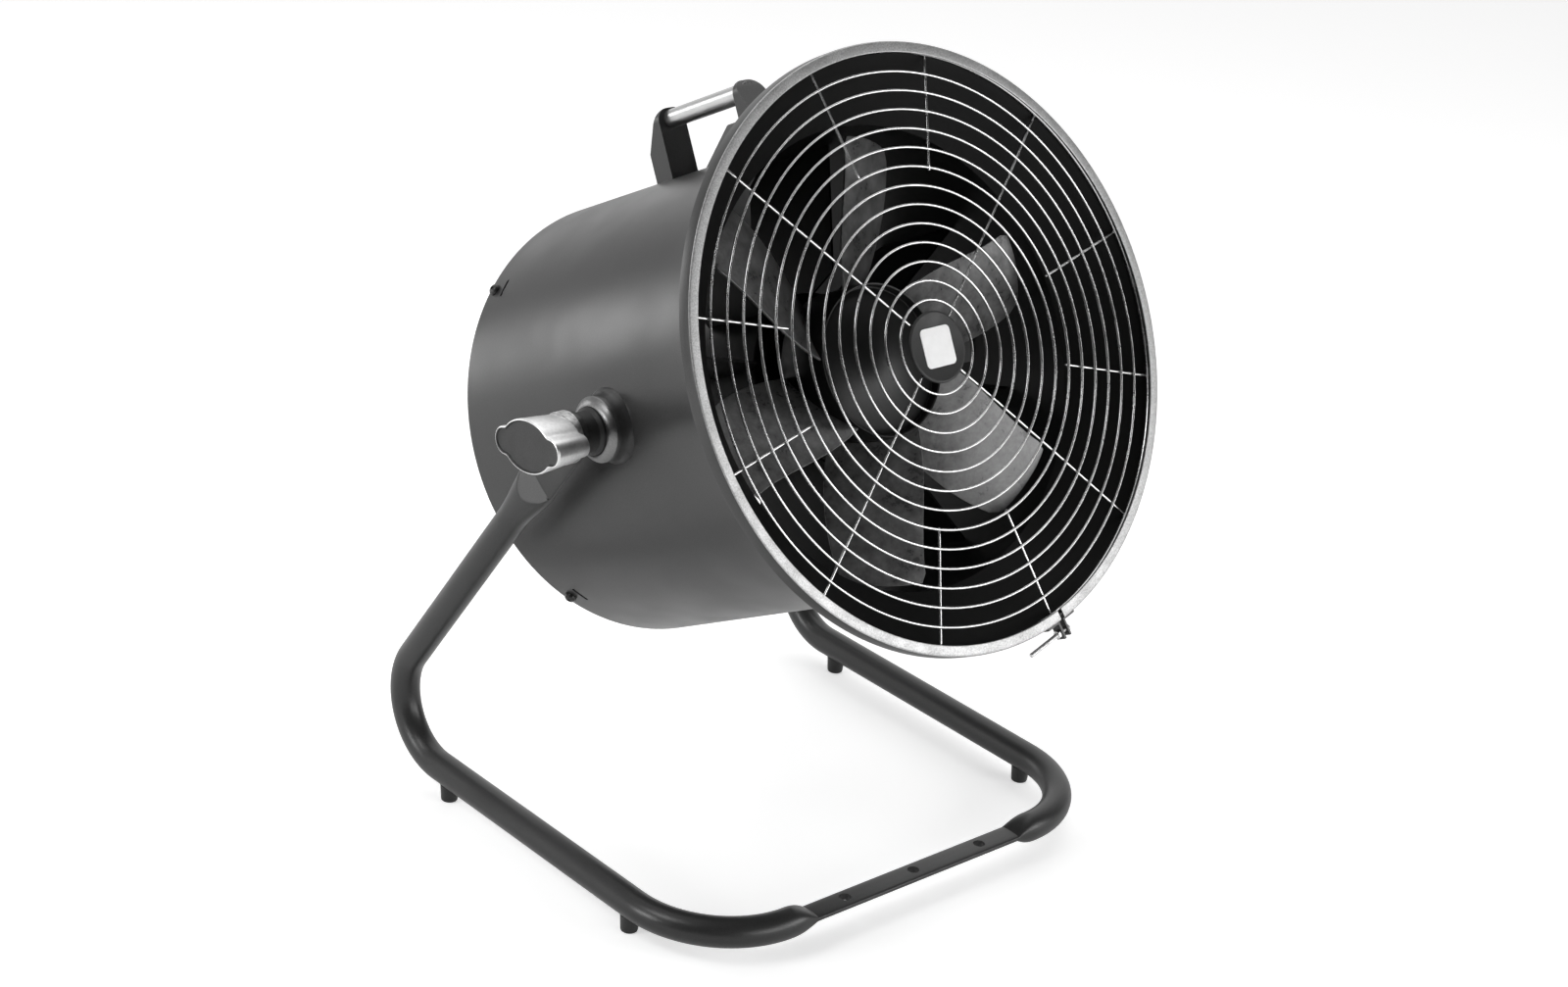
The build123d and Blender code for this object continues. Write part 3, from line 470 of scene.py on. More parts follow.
def lathe(outline, steps=96, opening=0.0, middle=0.0, bm=None, matrix=None):
    """Turns a closed outline of (radius, station) points about Z, open over an angle if asked."""
    bm = bm or bmesh.new()
    before = len(bm.verts)
    count = steps + 1 if opening else steps
    first = middle + opening / 2
    angles = [first + (2 * pi - opening) * i / steps for i in range(count)]
    rings = []
    for radius, station in outline:
        if radius == 0:
            rings.append([bm.verts.new((0, 0, station))] * count)
        else:
            rings.append([bm.verts.new((radius * cos(a), radius * sin(a), station)) for a in angles])
    for a, b in zip(rings, rings[1:] + rings[:1]):
        for j in range(steps):
            k = (j + 1) % count
            corners = list(dict.fromkeys((a[j], a[k], b[k], b[j])))
            if len(corners) > 2:
                bm.faces.new(corners)
    if opening:
        bm.faces.new([ring[0] for ring in rings])
        bm.faces.new([ring[-1] for ring in reversed(rings)])
    if matrix is not None:
        bm.verts.ensure_lookup_table()
        bmesh.ops.transform(bm, matrix=matrix, verts=bm.verts[before:])
    return bm


def wire_loop(bm, radius, station, wire_r, steps=144, sides=10):
    """One closed ring of round wire."""
    loops = []
    for i in range(steps):
        a = 2 * pi * i / steps
        loop = []
        for j in range(sides):
            b = 2 * pi * j / sides
            reach = radius + wire_r * cos(b)
            loop.append(bm.verts.new((reach * cos(a), reach * sin(a), station + wire_r * sin(b))))
        loops.append(loop)
    skin(bm, loops, closed_path=True)


def wire_along(bm, points, wire_r, sides=10):
    """Round wire through a list of points, with rounded ends."""
    heading = (points[-1] - points[0]).normalized()
    side = heading.orthogonal().normalized()
    overrun = heading * wire_r * 0.6
    stations = [(points[0] - overrun, 0.5)]
    stations += [(p, 1.0) for p in points]
    stations += [(points[-1] + overrun, 0.5)]
    loops = []
    for index, (point, size) in enumerate(stations):
        before = stations[max(index - 1, 0)][0]
        after = stations[min(index + 1, len(stations) - 1)][0]
        along = (after - before).normalized()
        x = (side - along * side.dot(along)).normalized()
        y = along.cross(x)
        angles = [2 * pi * j / sides for j in range(sides)]
        loops.append(
            [bm.verts.new(point + (x * cos(a) + y * sin(a)) * wire_r * size) for a in angles]
        )
    skin(bm, loops)


def prism(outline, low, high, bm=None, matrix=None):
    """Extrudes a flat outline of (x, y) points between two heights."""
    bm = bm or bmesh.new()
    bottom = [bm.verts.new((x, y, low)) for x, y in outline]
    top = [bm.verts.new((x, y, high)) for x, y in outline]
    skin(bm, [bottom, top])
    if matrix is not None:
        bmesh.ops.transform(bm, matrix=matrix, verts=bottom + top)
    return bm


def circle(radius, steps, centre=(0, 0)):
    """Outline of a circle."""
    angles = [2 * pi * i / steps for i in range(steps)]
    return [(centre[0] + radius * cos(a), centre[1] + radius * sin(a)) for a in angles]


def rounded(half_x, half_y, corner, centre=(0, 0), steps=6):
    """Outline of a rectangle with rounded corners."""
    points = []
    for quarter, (i, j) in enumerate(((1, 1), (-1, 1), (-1, -1), (1, -1))):
        for step in range(steps + 1):
            a = pi / 2 * (quarter + step / steps)
            x = i * (half_x - corner) + corner * cos(a)
            y = j * (half_y - corner) + corner * sin(a)
            points.append((centre[0] + x, centre[1] + y))
    return points


def around(angle):
    """A turn about the Z axis, from an angle in degrees."""
    return Matrix.Rotation(radians(angle), 4, "Z")


def facing_out(angle, radius, station):
    """A place on the drum whose Z axis points away from the drum's axis."""
    place = Matrix.Translation((radius, 0, station))
    return around(angle) @ place @ Matrix.Rotation(pi / 2, 4, "Y")


def cut(made, cutters, angle=32.0):
    """Subtracts bmeshes, already in metres, from a piece and keeps the result as its mesh."""
    tools = []
    for index, bm in enumerate(cutters):
        bmesh.ops.recalc_face_normals(bm, faces=bm.faces)
        mesh = bpy.data.meshes.new("cutter")
        bm.to_mesh(mesh)
        bm.free()
        tool = bpy.data.objects.new("cutter", mesh)
        bpy.context.scene.collection.objects.link(tool)
        tools.append(tool)
        step = made.modifiers.new(f"cut{index}", "BOOLEAN")
        step.operation = "DIFFERENCE"
        step.solver = "EXACT"
        step.object = tool
    # The bevel waits, so that it also rounds the edges of the cuts
    rounding = [m for m in made.modifiers if m.type == "BEVEL"]
    for m in rounding:
        m.show_viewport = False
    graph = bpy.context.evaluated_depsgraph_get()
    result = bpy.data.meshes.new_from_object(made.evaluated_get(graph))
    result.shade_smooth()
    result.set_sharp_from_angle(angle=radians(angle))
    old = made.data
    made.data = result
    bpy.data.meshes.remove(old)
    for m in list(made.modifiers):
        if m.type == "BOOLEAN":
            made.modifiers.remove(m)
    for m in rounding:
        m.show_viewport = True
    for tool in tools:
        bpy.data.objects.remove(tool)


# ---------------------------------------------------------------- stand


def section_of(half_x, half_y, power, sides=96):
    """Section of the tube: round at power 2, nearly flat-sided at 5."""
    points = []
    for j in range(sides):
        a = 2 * pi * (j + 0.5) / sides
        c, s = cos(a), sin(a)
        x = half_x * abs(c) ** (2 / power) * (1 if c > 0 else -1)
        y = half_y * abs(s) ** (2 / power) * (1 if s > 0 else -1)
        points.append((x, y))
    return points


def ring_at(place, x, y, section):
    """A section's points round a place, on two directions."""
    return [place + x * u + y * v for u, v in section]


def eased(done):
    """A smooth start and finish between 0 and 1."""
    return done * done * (3 - 2 * done)


def arm_rings():
    """Left arm: flat rounded tip, wedge-shaped slopes of the squashed tube, round tube, floor bend."""
    tip_steps, bend_steps = 12, 40
    down = Vector((0, cos(ARM_SLOPE), -sin(ARM_SLOPE)))
    across = Vector((0, sin(ARM_SLOPE), cos(ARM_SLOPE)))
    side = Vector((-1, 0, 0))
    pivot = Vector((-STAND_X, PIVOT_Y, PIVOT_Z))
    turn = pi - ARM_SLOPE
    straight_end = (PIVOT_Z - RAIL_Z) / sin(ARM_SLOPE) - ARM_BEND_R * tan(turn / 2)
    half_wide = FLAT_WIDTH / 2
    half_thick = FLAT_THICK / 2
    rings = []
    for i in range(1, tip_steps + 1):
        a = pi / 2 * i / tip_steps
        section = section_of(half_wide * sin(a), half_thick, FLAT)
        rings.append(ring_at(pivot - down * half_wide * cos(a), across, side, section))
    flat = section_of(half_wide, half_thick, FLAT)
    rings.append(ring_at(pivot + down * ARM_FLAT, across, side, flat))
    # From here the two slopes of the wedge cut into a section that grows round
    wedge = (TUBE_R - half_thick) / (ARM_CREASE - ARM_FLAT)
    for distance in range(int(ARM_FLAT) + 1, int(ARM_ROUND)):
        done = (distance - ARM_FLAT) / (ARM_ROUND - ARM_FLAT)
        wide = half_wide + (TUBE_R - half_wide) * eased(done)
        thick = CREASE_HALF + (TUBE_R - CREASE_HALF) * done
        limit = half_thick + wedge * (distance - ARM_FLAT)
        full = section_of(wide, thick, SQUASHED + (ROUND - SQUASHED) * done)
        section = [(u, max(-limit, min(limit, v))) for u, v in full]
        rings.append(ring_at(pivot + down * distance, across, side, section))
    tube = section_of(TUBE_R, TUBE_R, ROUND)
    for distance in (ARM_ROUND, straight_end):
        rings.append(ring_at(pivot + down * distance, across, side, tube))
    centre = pivot + down * straight_end - across * ARM_BEND_R
    for i in range(1, bend_steps + 1):
        a = turn * i / bend_steps
        outward = across * cos(a) + down * sin(a)
        rings.append(ring_at(centre + outward * ARM_BEND_R, outward, side, tube))
    return rings


def corner_rings():
    """Left front corner on the floor, and the pinch into the flat bar."""
    bend_steps, pinch_steps = 32, 24
    under = Vector((0, 0, -1))
    forward = Vector((0, -1, 0))
    centre = Vector((CORNER_BEND_R - STAND_X, CROSSBAR_Y + CORNER_BEND_R, RAIL_Z))
    tube = section_of(TUBE_R, TUBE_R, ROUND)
    rings = []
    for i in range(bend_steps + 1):
        a = pi / 2 * i / bend_steps
        outward = Vector((-cos(a), -sin(a), 0))
        rings.append(ring_at(centre + outward * CORNER_BEND_R, under, outward, tube))
    for i in range(1, pinch_steps + 1):
        done = i / pinch_steps
        thick = TUBE_R + (BAR_THICK / 2 - TUBE_R) * done**1.7
        wide = TUBE_R + (BAR_WIDTH / 2 - TUBE_R) * eased(done)
        place = Vector((centre.x + (-BAR_HALF - centre.x) * done, CROSSBAR_Y, RAIL_Z))
        section = section_of(thick, wide, ROUND + eased(done))
        rings.append(ring_at(place, under, forward, section))
    return rings


def stand():
    """One tube bent into two arms, two rails and the crossbar, with its holes."""
    half = arm_rings() + corner_rings()
    other = [[Vector((-p.x, p.y, p.z)) for p in ring] for ring in reversed(half)]
    bm = bmesh.new()
    skin(bm, [[bm.verts.new(p) for p in ring] for ring in half + other])
    made = piece(
        "stand_tube", bm, FLOOR, (STAND_PAINT,), "stand", ("stand_frame",), bevel=0.4, angle=40
    )
    cutters = []
    for step in (-1, 0, 1):
        hole = circle(BAR_HOLE_R, 32, (step * BAR_HOLE_PITCH, CROSSBAR_Y))
        cutters.append(prism(hole, RAIL_Z - PAST, RAIL_Z + PAST, matrix=FLOOR))
    for _, matrix in SIDES:
        hole = circle(STUD_R + ARM_ROOM, 32)
        cutters.append(prism(hole, STAND_X - PAST, STAND_X + PAST, matrix=matrix))
    cut(made, cutters, angle=20)


def feet():
    """Tapered rubber feet with a rounded sole and a moulded bead at the top."""
    top = RAIL_Z - TUBE_R + FOOT_HOLD
    outline = [
        (0, 0),
        (FOOT_SOLE_R - 1.1, 0),
        (FOOT_SOLE_R - 0.3, EASE),
        (FOOT_SOLE_R, 2.0),
        (FOOT_TOP_R - 0.3, top - 1.4),
        (FOOT_TOP_R, top - 0.6),
        (FOOT_TOP_R - 0.8, top),
        (0, top),
    ]
    for row, y in zip(("front", "rear"), FOOT_Y):
        for name, side in (("left", -1), ("right", 1)):
            move = FLOOR @ Matrix.Translation((side * STAND_X, PIVOT_Y + y, 0))
            node = f"foot_{row}_{name}"
            foot = lathe(outline, 40)
            piece("rubber_" + node, foot, move, (RUBBER,), "stand", (node,), bevel=0.3)


# ---------------------------------------------------------------- drum


def shell():
    """Rolled drum with a flared cone and a mouth lip, four slots at the rear, and a darker copy of its
    paint inside as painted shade.
    """
    slope = atan2(CONE_END - CONE_START, MOUTH_R - DRUM_R)
    shift_r = SHEET * sin(slope)
    shift_s = SHEET * cos(slope)
    inner_start = CONE_START + shift_s - (DRUM_R - shift_r - DRUM_IN_R) * tan(slope)
    lip_front = CONE_END + SHEET
    inner_mouth = MOUTH_R - shift_r + (SHEET - shift_s) / tan(slope)
    outline = [
        (DRUM_IN_R, REAR),
        (DRUM_R, REAR),
        *((DRUM_R, station) for station in SHELL_RINGS),
        (DRUM_R, CONE_START - 2.0),
        (DRUM_R + EASE, CONE_START + EASE),
        (MOUTH_R - 1.5, CONE_END - 1.2),
        (MOUTH_R + 0.3, CONE_END),
        (LIP_R, CONE_END),
        (LIP_R, lip_front),
        (inner_mouth, lip_front),
        (DRUM_IN_R, inner_start),
        *((DRUM_IN_R, station) for station in reversed(SHELL_RINGS)),
    ]
    bm = lathe(outline, 192)
    bmesh.ops.recalc_face_normals(bm, faces=bm.faces)
    # Faces that look inwards take the darker copy of the paint: painted shade
    for face in bm.faces:
        middle = face.calc_center_median()
        faces_in = face.normal.x * middle.x + face.normal.y * middle.y < -1
        if faces_in:
            face.material_index = 1
    made = piece("drum_body", bm, DRUM, (DARK, INSIDE_PAINTED_SHADE), "drum", ("drum_shell",), bevel=0.5, angle=40)
    # The corners stay just under half the width, so that no two of their points meet
    slot = rounded(SLOT_WIDTH / 2, SLOT_LENGTH / 2, SLOT_WIDTH / 2 - 0.01)
    cutters = []
    for angle in REAR_ANGLES:
        on_wall = DRUM @ facing_out(angle, DRUM_R, SLOT_STATION)
        cutters.append(prism(slot, -SLOT_CUT, SLOT_CUT, matrix=on_wall))
    cut(made, cutters)


def dome(radius):
    """Station of the slightly domed front grille at a radius."""
    return GRILLE_STATION + DOME_RISE * (1 - (radius / DOME_R) ** 2)


def front_grille():
    """Round wire rings welded in front of bent spokes."""
    bm = bmesh.new()
    for k in range(RING_COUNT):
        radius = RING_FIRST + RING_PITCH * k
        wire_loop(bm, radius, dome(radius), WIRE_R, steps=96 + 8 * k)
    wire_loop(bm, RIM_WIRE_R, CONE_END + SHEET + RIM_WIRE / 2, RIM_WIRE / 2, steps=192)
    points = 17
    for k in range(SPOKE_COUNT):
        angle = SPOKE_FIRST + 360 / SPOKE_COUNT * k
        start = DISC_R / 2 if angle in LONG_SPOKES else SHORT_SPOKE_R
        reaches = [start + (SPOKE_END_R - start) * i / (points - 1) for i in range(points)]
        turn = Matrix.Rotation(radians(angle), 3, "Z")
        behind = [turn @ Vector((r, 0, dome(r) - 2 * WIRE_R)) for r in reaches]
        wire_along(bm, behind, WIRE_R)
    piece("wire_grille", bm, DRUM, (WIRE_STEEL,), "drum", ("front_grille",), angle=60)


def middle_disc():
    """Plastic disc with a raised lip, and the bare plate on it."""
    front = DISC_BACK + DISC_THICK
    outline = [
        (0, DISC_BACK),
        (DISC_R - 0.6, DISC_BACK),
        (DISC_R, DISC_BACK + 0.6),
        (DISC_R - 0.2, front),
        (DISC_R - 1.0, front + DISC_LIP),
        (DISC_R - 2.4, front + DISC_LIP - 0.1),
        (DISC_R - 3.4, front),
        (0, front),
    ]
    piece("grille_disc", lathe(outline, 72), DRUM, (BLACK,), "drum", ("centre_disc",), angle=50)
    plate = prism(rounded(LABEL_HALF, LABEL_HALF, LABEL_CORNER), front, front + LABEL_THICK)
    piece("grille_plate", plate, DRUM, (PLATE,), "drum", ("centre_label",), bevel=0.25)


def clamp_ring():
    """Clamp ring, open at one place: bare front flange, and a painted band round the lip."""
    outline = [
        (CLAMP_IN_R, CLAMP_FRONT - SHEET),
        (CLAMP_IN_R, CLAMP_FRONT - 0.3),
        (CLAMP_IN_R + EASE, CLAMP_FRONT),
        (CLAMP_R - 1.6, CLAMP_FRONT),
        (CLAMP_R - 0.8, CLAMP_FRONT - 0.25),
        (CLAMP_R - 0.25, CLAMP_FRONT - 0.8),
        (CLAMP_R, CLAMP_FRONT - 1.6),
        (CLAMP_R, CLAMP_BACK),
        (CLAMP_R - SHEET, CLAMP_BACK),
        (CLAMP_R - SHEET, CLAMP_FRONT - SHEET),
    ]
    bm = lathe(outline, 200, opening=CLAMP_GAP / CLAMP_R, middle=CLAMP_GAP_ANGLE)
    for face in bm.faces:
        if face.calc_center_median().z < CLAMP_FRONT - 0.6:
            face.material_index = 1
    piece("ring_clamp", bm, DRUM, (RING_STEEL, DARK), "drum", ("clamp_ring",), angle=28)
    for name in ("clamp_tab_left", "clamp_tab_right"):
        softened(name, DARK, "drum", bevel=0.5)


def clamp_screw():
    """Long threaded screw through the lugs, with a grooved head and a six-sided nut."""
    seat = CLAMP_GAP / 2 + TAB_THICK
    head = -seat - CLAMP_HEAD
    length = CLAMP_SCREW_LENGTH - seat
    outline = [
        (0, head),
        (CLAMP_GROOVE_R, head),
        (CLAMP_GROOVE_R, head + CLAMP_GROOVE),
        (CLAMP_GROOVE_R + 0.6, head),
        (CLAMP_HEAD_R - 0.8, head),
        (CLAMP_HEAD_R, head + 0.8),
        (CLAMP_HEAD_R, -seat),
        (CLAMP_SCREW_R, -seat),
    ]
    for k in range(int(CLAMP_SCREW_LENGTH / THREAD_PITCH) - 1):
        outline.append((CLAMP_SCREW_R - THREAD_DEPTH, -seat + THREAD_PITCH * (k + 0.5)))
        outline.append((CLAMP_SCREW_R, -seat + THREAD_PITCH * (k + 1)))
    outline.append((CLAMP_SCREW_R - EASE, length))
    outline.append((0, length))
    line = (
        Matrix.Rotation(CLAMP_GAP_ANGLE, 4, "Z")
        @ Matrix.Translation((TAB_HOLE_R, 0, CLAMP_BACK + TAB_DEPTH / 2))
        @ Matrix.Rotation(pi / 2, 4, "X")
    )
    bm = lathe(outline, 32)
    prism(circle(CLAMP_HEAD_R, 6), seat, seat + CLAMP_HEAD, bm)
    matrix = DRUM @ line
    piece("long_screw", bm, matrix, (BRIGHT,), "drum", ("clamp_screw",), bevel=0.2, angle=50)


def rear_guard():
    """Black rings inside the rear rim, on flat spokes with tabs bent along the wall."""
    bm = bmesh.new()
    for k in range(REAR_RING_COUNT):
        radius = REAR_RING_FIRST + REAR_RING_PITCH * k
        wire_loop(bm, radius, REAR_GRILLE_STATION, REAR_WIRE_R, steps=96)
    back = REAR_SPOKE_BACK
    half_long = (REAR_END_R - REAR_RING_FIRST) / 2
    middle = (REAR_RING_FIRST + REAR_END_R) / 2
    spoke = rounded(half_long, REAR_WIRE_R, REAR_CORNER, (middle, 0))
    half_thick = REAR_TAB_THICK / 2
    tab = rounded(half_thick, REAR_TAB_WIDTH / 2, REAR_CORNER, (REAR_END_R - half_thick, 0))
    for angle in REAR_ANGLES:
        prism(spoke, back, back + REAR_SPOKE_DEPTH, bm, around(angle))
        prism(tab, back, SCREW_STATION + REAR_TAB_WIDTH / 2, bm, around(angle))
    piece("guard_wires", bm, DRUM, (BLACK_STEEL,), "drum", ("rear_grille",), angle=50)


def rear_screws():
    """Four domed screws with sockets, through the drum wall into the guard's tabs."""
    start = DRUM_IN_R - REAR_TAB_THICK
    top = DRUM_R + SCREW_HEAD
    outline = [
        (0, start),
        (SCREW_R, start),
        (SCREW_R, DRUM_R),
        (SCREW_HEAD_R, DRUM_R),
        (SCREW_HEAD_R, DRUM_R + 1.2),
        (SCREW_HEAD_R - 0.4, DRUM_R + 2.6),
        (SCREW_HEAD_R - 1.4, top - EASE),
        (SCREW_HEAD_R - 2.4, top),
        (SCREW_SOCKET_R, top),
        (SCREW_SOCKET_R - 0.3, top - SCREW_SOCKET),
        (0, top - SCREW_SOCKET),
    ]
    bm = bmesh.new()
    for angle in REAR_ANGLES:
        lathe(outline, 32, bm=bm, matrix=facing_out(angle, 0, SCREW_STATION))
    piece("guard_screws", bm, DRUM, (BLACK_STEEL,), "drum", ("rear_screws",), angle=40)


def handle_grip():
    """Satin grip that runs a little way into its two brackets."""
    start = HANDLE_BACK - GRIP_SINK
    end = HANDLE_FRONT + GRIP_SINK
    outline = [
        (0, start),
        (HANDLE_R, start),
        (HANDLE_R, HANDLE_BACK + GRIP_RINGS),
        (HANDLE_R, HANDLE_FRONT - GRIP_RINGS),
        (HANDLE_R, end),
        (0, end),
    ]
    lift = DRUM @ Matrix.Translation((0, HANDLE_HEIGHT, 0))
    grip = lathe(outline, 64)
    piece("handle_grip", grip, lift, (GRIP_STEEL,), "drum", ("handle_tube",), bevel=0.2)


# ---------------------------------------------------------------- impeller


def blade_point(reach, chord):
    """As in the CAD model: reach 0 at the hub to 1 at the tip, chord 0 trailing to 1 leading."""
    root = HUB_R - BLADE_ROOT
    radius = root + reach * (TIP_R + BLADE_ROOT - root)
    # Angles about the drum's axis, in degrees, and stations along it
    trailing_angle = 25 * (1 - reach) ** 2
    leading_angle = -30 + 9.5 * reach**2
    trailing_station = HUB_FRONT + 7 + 4 * reach
    leading_station = HUB_BACK + 3 + 26 * reach**1.3
    bow = (2 + 2 * reach) * 4 * chord * (1 - chord)
    angle = radians(trailing_angle + chord * (leading_angle - trailing_angle))
    station = trailing_station + chord * (leading_station - trailing_station) + bow
    return Vector((radius * cos(angle), radius * sin(angle), station))


def blade_grid(rows, columns):
    """Points of a blade's front face from hub to tip circle, with rounded tip corners."""
    margin = BLADE_ROOT / (TIP_R + 2 * BLADE_ROOT - HUB_R)
    grid = []
    for i in range(rows + 1):
        row = []
        for j in range(columns + 1):
            chord = j / columns
            edge = max(0.0, abs(2 * chord - 1) - (1 - CORNER_CHORD)) / CORNER_CHORD
            corner = CORNER_REACH * (1 - sqrt(max(0.0, 1 - edge * edge)))
            row.append(blade_point(margin + (1 - 2 * margin - corner) * i / rows, chord))
        grid.append(row)
    return grid


def blade_mesh(rows=22, columns=16):
    """Two skins a sheet's thickness apart, joined round the rim."""
    grid = blade_grid(rows, columns)
    bm = bmesh.new()
    front, back = [], []
    for i in range(rows + 1):
        for j in range(columns + 1):
            outwards = grid[min(i + 1, rows)][j] - grid[max(i - 1, 0)][j]
            along = grid[i][min(j + 1, columns)] - grid[i][max(j - 1, 0)]
            normal = outwards.cross(along).normalized()
            if normal.z > 0:
                normal = -normal
            front.append(bm.verts.new(grid[i][j]))
            back.append(bm.verts.new(grid[i][j] + normal * BLADE_THICK))
    width = columns + 1
    for i in range(rows):
        for j in range(columns):
            a = i * width + j
            corners = (a, a + 1, a + width + 1, a + width)
            bm.faces.new([front[c] for c in corners])
            bm.faces.new([back[c] for c in reversed(corners)])
    rim = list(range(width))
    rim += [i * width + columns for i in range(1, rows + 1)]
    rim += [rows * width + j for j in range(columns - 1, -1, -1)]
    rim += [i * width for i in range(rows - 1, 0, -1)]
    for a, b in zip(rim, rim[1:] + rim[:1]):
        bm.faces.new((front[a], front[b], back[b], back[a]))
    return bm


def blades():
    """Twisted sheet blades round the hub."""
    for index in range(BLADE_COUNT):
        turn = DRUM @ around(BLADE_FIRST + 360 / BLADE_COUNT * index)
        name = f"blade_{index + 1}"
        piece("fan_" + name, blade_mesh(), turn, (BLADE,), "impeller", (name,), bevel=0.5, angle=50)


def hub():
    """Hub cup with a rolled rim."""
    rim = HUB_FRONT + HUB_RIM
    outline = [
        (HUB_IN_R, HUB_BACK),
        (HUB_R - EASE, HUB_BACK),
        (HUB_R, HUB_BACK + 0.6),
        (HUB_R, rim - 1.5),
        (HUB_R - 0.8, rim),
        (HUB_R - 2.0, rim - 0.4),
        (HUB_R - 2.5, rim - 2.0),
        (HUB_R - 2.5, HUB_FRONT),
        (SHAFT_HOLE_R, HUB_FRONT),
        (SHAFT_HOLE_R, HUB_FRONT - HUB_FLOOR),
        (HUB_IN_R, HUB_FRONT - HUB_FLOOR),
    ]
    cup = lathe(outline, 120)
    piece(
        "fan_hub", cup, DRUM, (HUB_PAINT,), "impeller", ("impeller_hub",), bevel=0.3, angle=50
    )


def nose():
    """Nose cap, a slice of a ball inside the hub's rim."""
    steps = 18
    ball = (NOSE_R**2 + NOSE_RISE**2) / (2 * NOSE_RISE)
    reach = asin(NOSE_R / ball)
    outline = []
    for i in range(steps):
        a = reach * (1 - i / steps)
        outline.append((ball * sin(a), HUB_FRONT + NOSE_RISE - ball * (1 - cos(a))))
    outline.append((0, HUB_FRONT + NOSE_RISE))
    outline.append((0, HUB_FRONT))
    piece("fan_nose", lathe(outline, 96), DRUM, (HUB_PAINT,), "impeller", ("nose_cap",), angle=40)


# ---------------------------------------------------------------- pivots


def knob_reach(angle, inset):
    """Radius of the knob's outline: an oval blended into the two ears."""
    s, c = abs(sin(angle)), abs(cos(angle))
    long, short, ear_r = KNOB_LONG - inset, KNOB_SHORT - inset, EAR_R - inset
    oval = 1 / sqrt((c / long) ** 2 + (s / short) ** 2)
    if s * EAR_REACH < ear_r * c and ear_r > EAR_REACH * s:
        ear = EAR_REACH * c + sqrt(ear_r**2 - (EAR_REACH * s) ** 2)
    else:
        ear = ear_r / max(s, 1e-6)
    return (oval**EAR_BLEND + ear**EAR_BLEND) ** (1 / EAR_BLEND)


def knob_mesh():
    """Bare casting, narrower at the back, with a painted face inside a rim and a rough collar."""
    # Each row is how far the outline lies inside the full one, and its place on the tilt axis
    casting = [
        (3.9, KNOB_BACK),
        (3.1, KNOB_BACK + 0.5),
        (2.8, KNOB_BACK + 1.8),
        (0.3, KNOB_FACE - 2.4),
        (0.3, KNOB_FACE - 1.0),
        (0.7, KNOB_FACE - 0.3),
        (1.4, KNOB_FACE),
    ]
    face_panel = [
        (1.9, KNOB_FACE - 0.1),
        (2.3, KNOB_FACE - 0.5),
        (2.6, KNOB_FACE - 1.3),
        (3.4, KNOB_FACE - 1.5),
        (8.0, KNOB_FACE - 1.4),
    ]
    steps = 192
    bm = bmesh.new()
    loops = []
    for inset, x in casting + face_panel:
        loop = []
        for j in range(steps):
            a = 2 * pi * j / steps
            r = knob_reach(a, inset)
            loop.append(bm.verts.new((r * cos(a + KNOB_TURN), r * sin(a + KNOB_TURN), x)))
        loops.append(loop)
    skin(bm, loops)
    bm.faces.ensure_lookup_table()
    for face in bm.faces[(len(casting) - 1) * steps :]:
        face.material_index = 1
    # skin() adds the back end before the front one
    bm.faces[-2].material_index = 0
    collar = [
        (STUD_R, ARM_FACE + ARM_ROOM),
        (COLLAR_R - 1, ARM_FACE + ARM_ROOM),
        (COLLAR_R, ARM_FACE + 1.2),
        (COLLAR_R, KNOB_BACK + 0.5),
        (STUD_R, KNOB_BACK + 0.5),
    ]
    before = len(bm.faces)
    lathe(collar, 64, bm=bm)
    bm.faces.ensure_lookup_table()
    for face in bm.faces[before:]:
        face.material_index = 2
    return bm


def knob(side, matrix):
    """Cast wing knob outside an arm."""
    node = "knob_" + side
    skins = (CAST, KNOB_FACE_PAINT, ROUGH_CAST)
    piece("wing_" + node, knob_mesh(), matrix, skins, node, (node,), angle=40)


def dish(side, matrix):
    """Raised boss on the drum wall with a painted side, and a rounded crown in brighter metal as a
    painted highlight.
    """
    outline = [
        (STUD_R, DISH_FOOT),
        (DISH_R + 2.0, DISH_FOOT),
        (DISH_R + 2.0, DRUM_R - 1.6),
        (DISH_R + 0.2, DRUM_R + 0.6),
        (DISH_R - 1.0, DRUM_R + 4.0),
        (DISH_R - 1.6, DRUM_R + 9.0),
        (DISH_R - 1.9, DISH_RIM - DISH_CROWN - 0.2),
        (DISH_R - 2.6, DISH_RIM - DISH_CROWN + 1.0),
        (DISH_R - 5.0, DISH_RIM - 2.0),
        (DISH_R - 8.0, DISH_RIM),
        (WASHER_R + WASHER_ROOM, DISH_RIM),
        (WASHER_R + WASHER_ROOM, DISH_FACE),
        (STUD_R, DISH_FACE),
    ]
    bm = lathe(outline, 96)
    # The side keeps the dark paint; the crown above it takes the painted highlight
    for face in bm.faces:
        if face.calc_center_median().z < DISH_RIM - DISH_CROWN:
            face.material_index = 1
    name = "pivot_dish_" + side
    piece("flared_" + name, bm, matrix, (DISH_CROWN_PAINTED_HIGHLIGHT, DARK), "drum", (name,), angle=40)


def washer(side, matrix):
    """Stepped rubber washer between a dish and an arm."""
    start = DISH_FACE + WASHER_PLAY
    outline = [
        (STUD_R + WASHER_PLAY, start),
        (WASHER_R - 0.4, start),
        (WASHER_R, start + 0.4),
        (WASHER_R, WASHER_STEP - 2.4),
        (WASHER_R - 0.5, WASHER_STEP - 1.8),
        (WASHER_STEP_R, WASHER_STEP),
        (WASHER_STEP_R, WASHER_END - 0.4),
        (WASHER_STEP_R - 0.4, WASHER_END),
        (STUD_R + WASHER_PLAY, WASHER_END),
    ]
    name = "pivot_washer_" + side
    piece("rubber_" + name, lathe(outline, 96), matrix, (RUBBER,), "drum", (name,), angle=28)


# ---------------------------------------------------------------- softened CAD nodes


